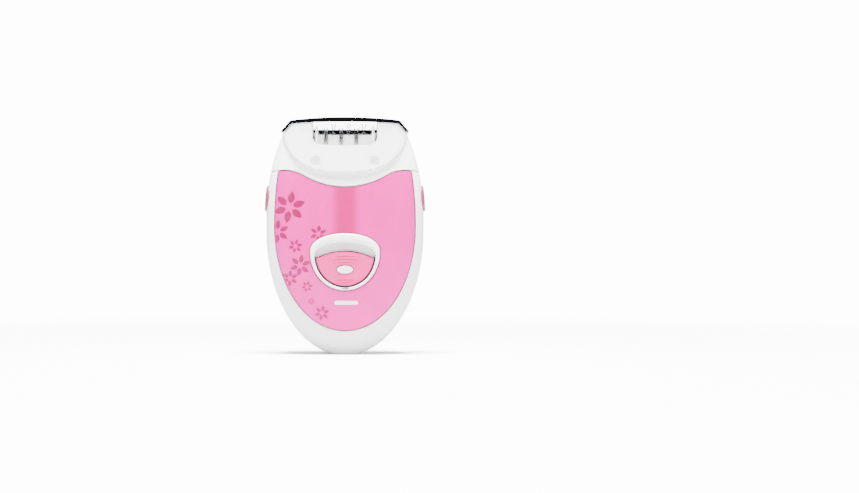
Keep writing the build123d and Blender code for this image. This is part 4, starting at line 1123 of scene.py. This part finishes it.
def along_top(p, outline, t, side):
    """Which flat points lie on the outline over the top."""
    at = from_flat(p, t, side)
    return (distance(at[:, [0, 2]], outline) < 0.05) & (at[:, 2] > TOP_FOOT)


def over_top(p, wall, inner, t, back, side):
    """Four rings that turn a wall in over the top to the parting plane, and back to the inner outline."""
    at = from_flat(p, t, side)[:, [0, 2]]
    under = nearest(at, inner)
    middle = [np.stack([q[:, 0], np.zeros(len(q)), q[:, 1]], -1) for q in (at, under)]
    return wall, *middle, on_form(under[:, 0], under[:, 1], back, side)


def window_notch(window_low, top):
    """The window's outline from its right side's top, under a shallow bow, to its left side's top."""
    radius = bow_radius(WINDOW_HALF, WINDOW_BOW)
    coarse = np.array([(WINDOW_HALF, top), (WINDOW_HALF, window_low + WINDOW_BOW), (0.0, window_low)])
    corner = round_corners(coarse, [1], WINDOW_CORNER, 10)
    xs = np.linspace(corner[-2][0], -corner[-2][0], 40)
    bow = np.stack([xs, -bow_height(xs, -window_low, radius)], -1)
    side_run = resample(corner[:-1], 0.5)[:-1]
    return np.vstack([side_run, bow, side_run[::-1] * (-1, 1)])


def head_shell(side):
    """Front or rear half of the head, with its half of the window."""
    lift, window_low = SEAM / 2, WINDOW_LOW[side]
    low = silhouette_top(lift)
    line = profile_in_form(0.0, 0.0)
    right, left = line[line[:, 0] > WINDOW_HALF], line[line[:, 0] < -WINDOW_HALF]
    notch = window_notch(window_low, np.interp(WINDOW_HALF, line[::-1, 0], line[::-1, 1]))
    top_flat = from_front(np.vstack([right, notch, left]), 0, side)
    width = extents(low, 0)[0].item()
    foot = from_front(parting_between(-width, width, lift), 0, side)[1:-1]
    right_seam = seam_line(1, low, line[0][1], side)
    left_seam = seam_line(-1, line[-1][1], low, side)
    loop = np.vstack([foot, right_seam[:-1], top_flat, left_seam[1:]])
    inner, outline = profile_line(-HEAD_WALL, 0.3), profile_line(0.0, 0.3)

    def on_top(p):
        return along_top(p, outline, 0, side) & (np.abs(from_flat(p, 0, side)[:, 0]) > WINDOW_HALF - 0.02)

    def over(p, wall):
        return over_top(p, wall, inner, 0, HEAD_WALL, side)

    def rolls(p):
        at = from_flat(p, 0, side)
        in_window = (np.abs(at[:, 0]) < WINDOW_HALF + 0.05) & (at[:, 2] > window_low - 0.05)
        return np.where(in_window, WINDOW_ROLL, np.where(on_top(p), TOP_ROLL, CASE_ROLL))

    return plate([loop], side, 0, HEAD_WALL, rolls, 5, edges=[(on_top, over, 0)])


def nub(x, grow=0.0):
    """The front-view outline of a snap nub, or of its window in the cap."""
    corners = np.array([(-1, -1), (1, -1), (1, 1), (-1, 1)]) * NUB_HALF * (1 + grow / NUB_HALF[0])
    return round_corners(corners, [0, 1, 2, 3], NUB_RADIUS + grow, 6) + (x, NUB[1])


for side, name, node in ((-1, "head_front", "head_front_shell"), (1, "head_rear", "head_rear_shell")):
    nub_loops = [resample(from_front(nub(x), NUB_OUT, side), 0.3, True) for x in (-NUB[0], NUB[0])]
    nubs = [plate([loop], side, NUB_OUT, NUB_IN, NUB_ROLL, 3, pitch=0.6) for loop in nub_loops]
    shell = finish_mesh(name, *merged(head_shell(side), *nubs), "head", [white])
    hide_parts(node)

# ---- Drum ----

DRUM_Z, DRUM_END, BARREL_RADIUS, BARREL_BORE = 99.6, 12.9, 5.2, 4.6
STAR_PITCH, STARS, FIRST_ROW = 3.62, 6, 140.0
GAP, SLIT = 0.85, 0.7
SHOULDER = (0.55, 1.3)
SHAFT_RADIUS, CORE_RADIUS = 1.56, 2.4


def turned(profile, count=48):
    """A closed profile of (radius, x) turned round the drum's axis."""
    a = round_angles(count)
    rings = [np.stack([np.full(count, x), r * np.cos(a), DRUM_Z + r * np.sin(a)], -1) for r, x in profile]
    return swept([*rings, rings[0]])


def tweezer_x(k):
    """The place along the drum of a fixed tweezer."""
    return (k - (STARS - 1) / 2) * STAR_PITCH


def barrel_shell(x0, x1, round0, round1):
    """A white tube with a rounded shoulder at the chosen ends, black at its ends and inside as painted
    shade.
    """
    b = np.linspace(0, math.pi / 2, 7)
    rise, run = SHOULDER
    start = [(BARREL_RADIUS - rise * (1 - math.sin(a)), x0 + run * (1 - math.cos(a))) for a in b]
    finish = [(BARREL_RADIUS - rise * (1 - math.cos(a)), x1 - run * (1 - math.sin(a))) for a in b]
    start = start if round0 else [(BARREL_RADIUS, x0)]
    finish = finish if round1 else [(BARREL_RADIUS, x1)]
    profile = [(BARREL_BORE, x0), *start, *finish, (BARREL_BORE, x1)]
    count = 72
    verts, faces, kinds = turned(profile, count)
    last = len(profile) - 1
    # The end and inner faces take black: painted shade.
    kinds = [int(i // count in (0, last - 1, last)) for i in range(len(faces))]
    return verts, faces, kinds


def bridge(x, angle, half=38.0):
    """A curved block that joins two tubes across a tweezer, between its fingers."""
    a = np.radians(np.linspace(angle - half, angle + half, 20))
    inner, outer = BARREL_BORE, BARREL_RADIUS - 0.04
    corners = ((x - SLIT, inner), (x - SLIT, outer), (x + SLIT, outer), (x + SLIT, inner))
    runs = [np.stack([np.full(len(a), at), r * np.cos(a), DRUM_Z + r * np.sin(a)], -1) for at, r in corners]
    return swept(list(np.swapaxes(np.array(runs), 0, 1)), capped=True)


def drum_parts():
    """The drum's barrel pieces, with a wide gap at every other tweezer, on a core, black at the gaps' walls
    and the core as painted shade.
    """
    parts = [barrel_shell(-DRUM_END, tweezer_x(0) - GAP, False, True)]
    for k in range(1, STARS, 2):
        right = DRUM_END if k == STARS - 1 else tweezer_x(k + 1) - GAP
        parts.append(barrel_shell(tweezer_x(k - 1) + GAP, tweezer_x(k) - SLIT, True, False))
        parts.append(barrel_shell(tweezer_x(k) + SLIT, right, False, k < STARS - 1))
        parts += [bridge(tweezer_x(k), FIRST_ROW - 120 * row) for row in range(3)]
    stops = [-DRUM_END, *(tweezer_x(k) for k in range(STARS)), DRUM_END]
    for x0, x1 in zip(stops, stops[1:]):
        a, b = x0 + SLIT, x1 - SLIT
        profile = [(SHAFT_RADIUS, a), (CORE_RADIUS, a), (CORE_RADIUS, b), (SHAFT_RADIUS, b)]
        verts, faces, kinds = turned(profile)
        # The core takes black as painted shade.
        parts.append((verts, faces, [1] * len(kinds)))
    return merged(*parts)


barrels = finish_mesh("barrel_pieces", *drum_parts(), "drum", [barrel, dark], sharp=40)
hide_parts("drum_barrels")

# ---- Springs ----

COIL_START, COIL_LENGTH, COIL_RADIUS, COIL_TURNS, WIRE = 27.18, 2.5, 2.0, 3, 0.4
LEAF_X, LEAF_THICK, LEAF_BORE, LEAF_HUB, LEAF_WIDTH = 14.2, 0.15, 1.52, 2.6, 1.0
LEAF_REACH, LEAF_ROUND, LEAF_FLEX = 4.9, (4.4, 0.52), (2.35, 3.05)


def button_coil(way):
    """A release button's return spring."""
    side = SIDE_NAME[way]
    around = round_angles(10)
    rings = []
    for f in np.linspace(0, 1, 24 * COIL_TURNS + 1):
        a = 2 * math.pi * COIL_TURNS * f
        radial = np.array([0, math.cos(a), math.sin(a)])
        centre = np.array([COIL_START + COIL_LENGTH * f, 0, BUTTON_Z]) + COIL_RADIUS * radial
        ring = centre + WIRE / 2 * (np.cos(around)[:, None] * radial + np.sin(around)[:, None] * (1, 0, 0))
        rings.append(ring * (way, 1, 1))
    obj = finish_mesh(f"{side}_button_coil", *swept(rings, capped=True), None, [spring_steel], sharp=60)
    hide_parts(f"{side}_button_spring")
    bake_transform(obj)


def leaf_hub(way):
    """The ring in the middle of a leaf spring, pressed on the drum's shaft."""
    x0, x1 = (LEAF_X - LEAF_THICK / 2) * way, (LEAF_X + LEAF_THICK / 2) * way
    ring = turned([(LEAF_BORE, x0), (LEAF_HUB, x0), (LEAF_HUB, x1), (LEAF_BORE, x1)])
    obj = finish_mesh(f"{SIDE_NAME[way]}_leaf_hub", *ring, "drum", [spring_steel], sharp=40)
    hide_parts("rod_springs")


def comb_leaf(row):
    """The spring leg behind one sliding rod."""
    way = -1 if row % 2 == 0 else 1
    angle = math.radians(FIRST_ROW - 60 * row)
    along = np.array([0, math.cos(angle), math.sin(angle)])
    across = np.array([0, -math.sin(angle), math.cos(angle)])
    rings = []
    for r in np.linspace(LEAF_HUB - 0.25, LEAF_REACH, 16):
        past = max(0.0, (r - LEAF_ROUND[0]) / LEAF_ROUND[1])
        half = 0.5 * LEAF_WIDTH * math.sqrt(max(0.15, 1 - past**2))
        corners = []
        for u, v in ((-1, -1), (1, -1), (1, 1), (-1, 1)):
            x = way * (LEAF_X + v * LEAF_THICK / 2)
            corners.append(np.array([x, 0, DRUM_Z]) + r * along + u * half * across)
        rings.append(np.array(corners))
    name = f"comb_leaf_{row + 1}"
    obj = finish_mesh(name, *swept(rings, capped=True), None, [spring_steel], sharp=40)
    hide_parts("rod_springs")
    root, tip = (np.array([way * LEAF_X, 0, DRUM_Z]) + r * along for r in LEAF_FLEX)
    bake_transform(obj)


for way in (-1, 1):
    button_coil(way)
    leaf_hub(way)
for row in range(6):
    comb_leaf(row)

# ---- Clear cap ----


# The black band of painted dark reflection along the cap's top: its upper and lower edge on the front and
# rear faces, as growth of the head's outline.
REFLECTION_TOP, REFLECTION_FOOT, REFLECTION_SAG, REFLECTION_DEPTH = 1.18, {-1: 0.1, 1: 0.72}, {-1: 0.75, 1: 0.0}, 2.2


def reflection_band(side):
    """The black band of painted dark reflection on a face of the cap, which sags in its middle."""
    upper = profile_in_form(REFLECTION_TOP, CAP_OUT)[2:-2]
    lower = profile_in_form(REFLECTION_FOOT[side], CAP_OUT)[2:-2]
    lower[:, 1] -= REFLECTION_SAG[side] * np.clip(1 - (lower[:, 0] / HEAD_CORNER[0]) ** 2, 0, 1)
    return from_front(np.vstack([upper, lower[::-1]]), CAP_OUT, side)


def cap_half(side):
    """Front or rear half of the clear cap, with windows for the nubs, open where the halves join."""
    line = profile_in_form(CAP_GROW, CAP_OUT)
    lip = curve(*CAP_LIP, count=60)
    width, _ = extents(lip[:, 1], CAP_OUT)
    lip = lip[np.abs(lip[:, 0]) <= width]
    lip = resample(np.vstack([lip, lip[:-1][::-1] * (-1, 1)]), 0.8)
    start_z, lip_z = float(line[0][1]), float(lip[0][1])
    mouth = from_front(lip[::-1], CAP_OUT, side)
    right, left = seam_line(1, lip_z, start_z, side, 0.6), seam_line(-1, start_z, lip_z, side, 0.6)
    loop = np.vstack([mouth[:-1], right[:-1], from_front(line, CAP_OUT, side), left[1:]])
    inner, outline = profile_line(CAP_UNDER, 0.3), profile_line(CAP_GROW, 0.3)

    def on_top(p):
        return along_top(p, outline, CAP_OUT, side)

    def over(p, wall):
        band = wall.copy()
        band[:, 1] = side * np.maximum(np.abs(wall[:, 1]) - REFLECTION_DEPTH, 0.3 * np.abs(wall[:, 1]))
        return over_top(p, band, inner, CAP_OUT, CAP_IN, side)

    def rolls(p):
        return np.where(on_top(p), CAP_TOP_ROLL, CAP_ROLL)

    holes = [resample(from_front(nub(x, NUB_GAP), CAP_OUT, side), 0.35, True) for x in (-NUB[0], NUB[0])]
    # The band and the faces over the top take black as a painted dark reflection.
    marks, edges = [(reflection_band(side), 1)], [(on_top, over, 1)]
    return plate([loop, *holes], side, CAP_OUT, CAP_IN, rolls, 4, marks=marks, edges=edges, joined=True)


cap = finish_mesh("clear_cover", *merged(cap_half(-1), cap_half(1)), "cap", [clear, cap_reflection_black])
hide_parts("clear_cap")

# ---- Floor, light and camera, in metres ----

FLOOR_RADIUS, SURROUND_HEIGHT, SURROUND_LIFT, SURROUND_GLOW, FADE = 1.0, 1.0, 0.0003, 14.0, (0.16, 0.60)
# Each light's name, place, the height it points at, size, and power in watts.
LIGHTS = (
    ("overhead", (0.0, -0.15, 1.10), 0.0, (0.55, 0.40), 180),
    ("left_side", (-0.90, -0.60, 0.35), 0.06, (0.8, 0.9), 11),
    ("right_side", (0.90, -0.60, 0.35), 0.06, (0.8, 0.9), 11),
    ("front", (0.0, -1.30, 0.85), 0.06, (0.6, 0.4), 10),
    ("rear", (0.0, 1.30, 0.85), 0.06, (0.6, 0.4), 10),
)
WORLD_STRENGTH = 0.08
CAMERA_PLACE, CAMERA_SHIFT, CAMERA_LENS = (0.0, -1.145, 0.0566), (0.0984, -0.0127), 100.0


def staged(name, profile, material, count=96):
    """A surface turned round the vertical axis that is not part of the object."""
    a = round_angles(count)
    rings = [np.stack([r * np.cos(a), r * np.sin(a), np.full(count, z)], -1) for r, z in profile]
    verts, faces, _ = swept(rings)
    mesh = bpy.data.meshes.new(name)
    mesh.from_pydata(verts.tolist(), [], [tuple(reversed(f)) for f in faces])
    mesh.shade_smooth()
    mesh.materials.append(material)
    obj = linked(name, mesh)
    return obj


def surround_material():
    """An even pale glow on the inner face and none on the outer, which fades out at the floor's middle."""
    n = Nodes("pale_surround")
    glow = n.add("ShaderNodeEmission", Strength=SURROUND_GLOW)
    through = n.add("ShaderNodeBsdfTransparent")
    side = n.add("ShaderNodeNewGeometry")
    radius = n.add("ShaderNodeVectorMath", operation="LENGTH")
    n.link(n.place((1, 1, 0)), radius.inputs[0])
    clear_middle = n.fit(radius.outputs["Value"], *FADE, 1.0, 0.0, smooth=True)
    hidden = n.combine("MAXIMUM", side.outputs["Backfacing"], clear_middle)
    mix = n.add("ShaderNodeMixShader")
    n.link(hidden, mix.inputs["Fac"])
    n.link(glow.outputs["Emission"], mix.inputs[1])
    n.link(through.outputs["BSDF"], mix.inputs[2])
    n.link(mix.outputs["Shader"], n.tree.nodes["Material Output"].inputs["Surface"])
    return n.material


def studio():
    """A plain pale floor, with a plain pale surround that neither lights nor shades the object."""
    ground = plastic("pale_ground", (0.92, 0.92, 0.92), 0.9, 0.005)
    staged("pale_ground", [(0.0001, 0.0), (0.5, 0.0), (FLOOR_RADIUS, 0.0)], ground)
    profile = [(FADE[0], SURROUND_LIFT), (FLOOR_RADIUS, SURROUND_LIFT), (FLOOR_RADIUS, SURROUND_HEIGHT)]
    around = staged("pale_surround", profile, surround_material())
    around.visible_diffuse = around.visible_glossy = around.visible_shadow = False


def area_light(name, place, height, size, power):
    """A rectangular light that points at the object's axis."""
    light = bpy.data.lights.new(name, "AREA")
    light.shape, light.energy = "RECTANGLE", power
    light.size, light.size_y = size
    obj = linked(name, light)
    obj.location = place
    obj.rotation_euler = (Vector((0, 0, height)) - Vector(place)).to_track_quat("-Z", "Y").to_euler()


def photo_camera():
    """A long lens level with the middle of the object, shifted so that it stands left of centre."""
    camera = linked("photo_camera", bpy.data.cameras.new("photo_camera"))
    camera.data.lens, camera.data.sensor_width = CAMERA_LENS, 36.0
    camera.data.clip_start, camera.data.clip_end = 0.05, 20.0
    camera.data.shift_x, camera.data.shift_y = CAMERA_SHIFT
    camera.location = CAMERA_PLACE
    camera.rotation_euler = (math.radians(90), 0, 0)
    return camera


studio()
for light in LIGHTS:
    area_light(*light)
world = bpy.data.worlds.new("soft_world")
world.use_nodes = True
world.node_tree.nodes["Background"].inputs["Color"].default_value = (1, 1, 1, 1)
world.node_tree.nodes["Background"].inputs["Strength"].default_value = WORLD_STRENGTH
bpy.context.scene.world = world
bpy.context.scene.camera = photo_camera()
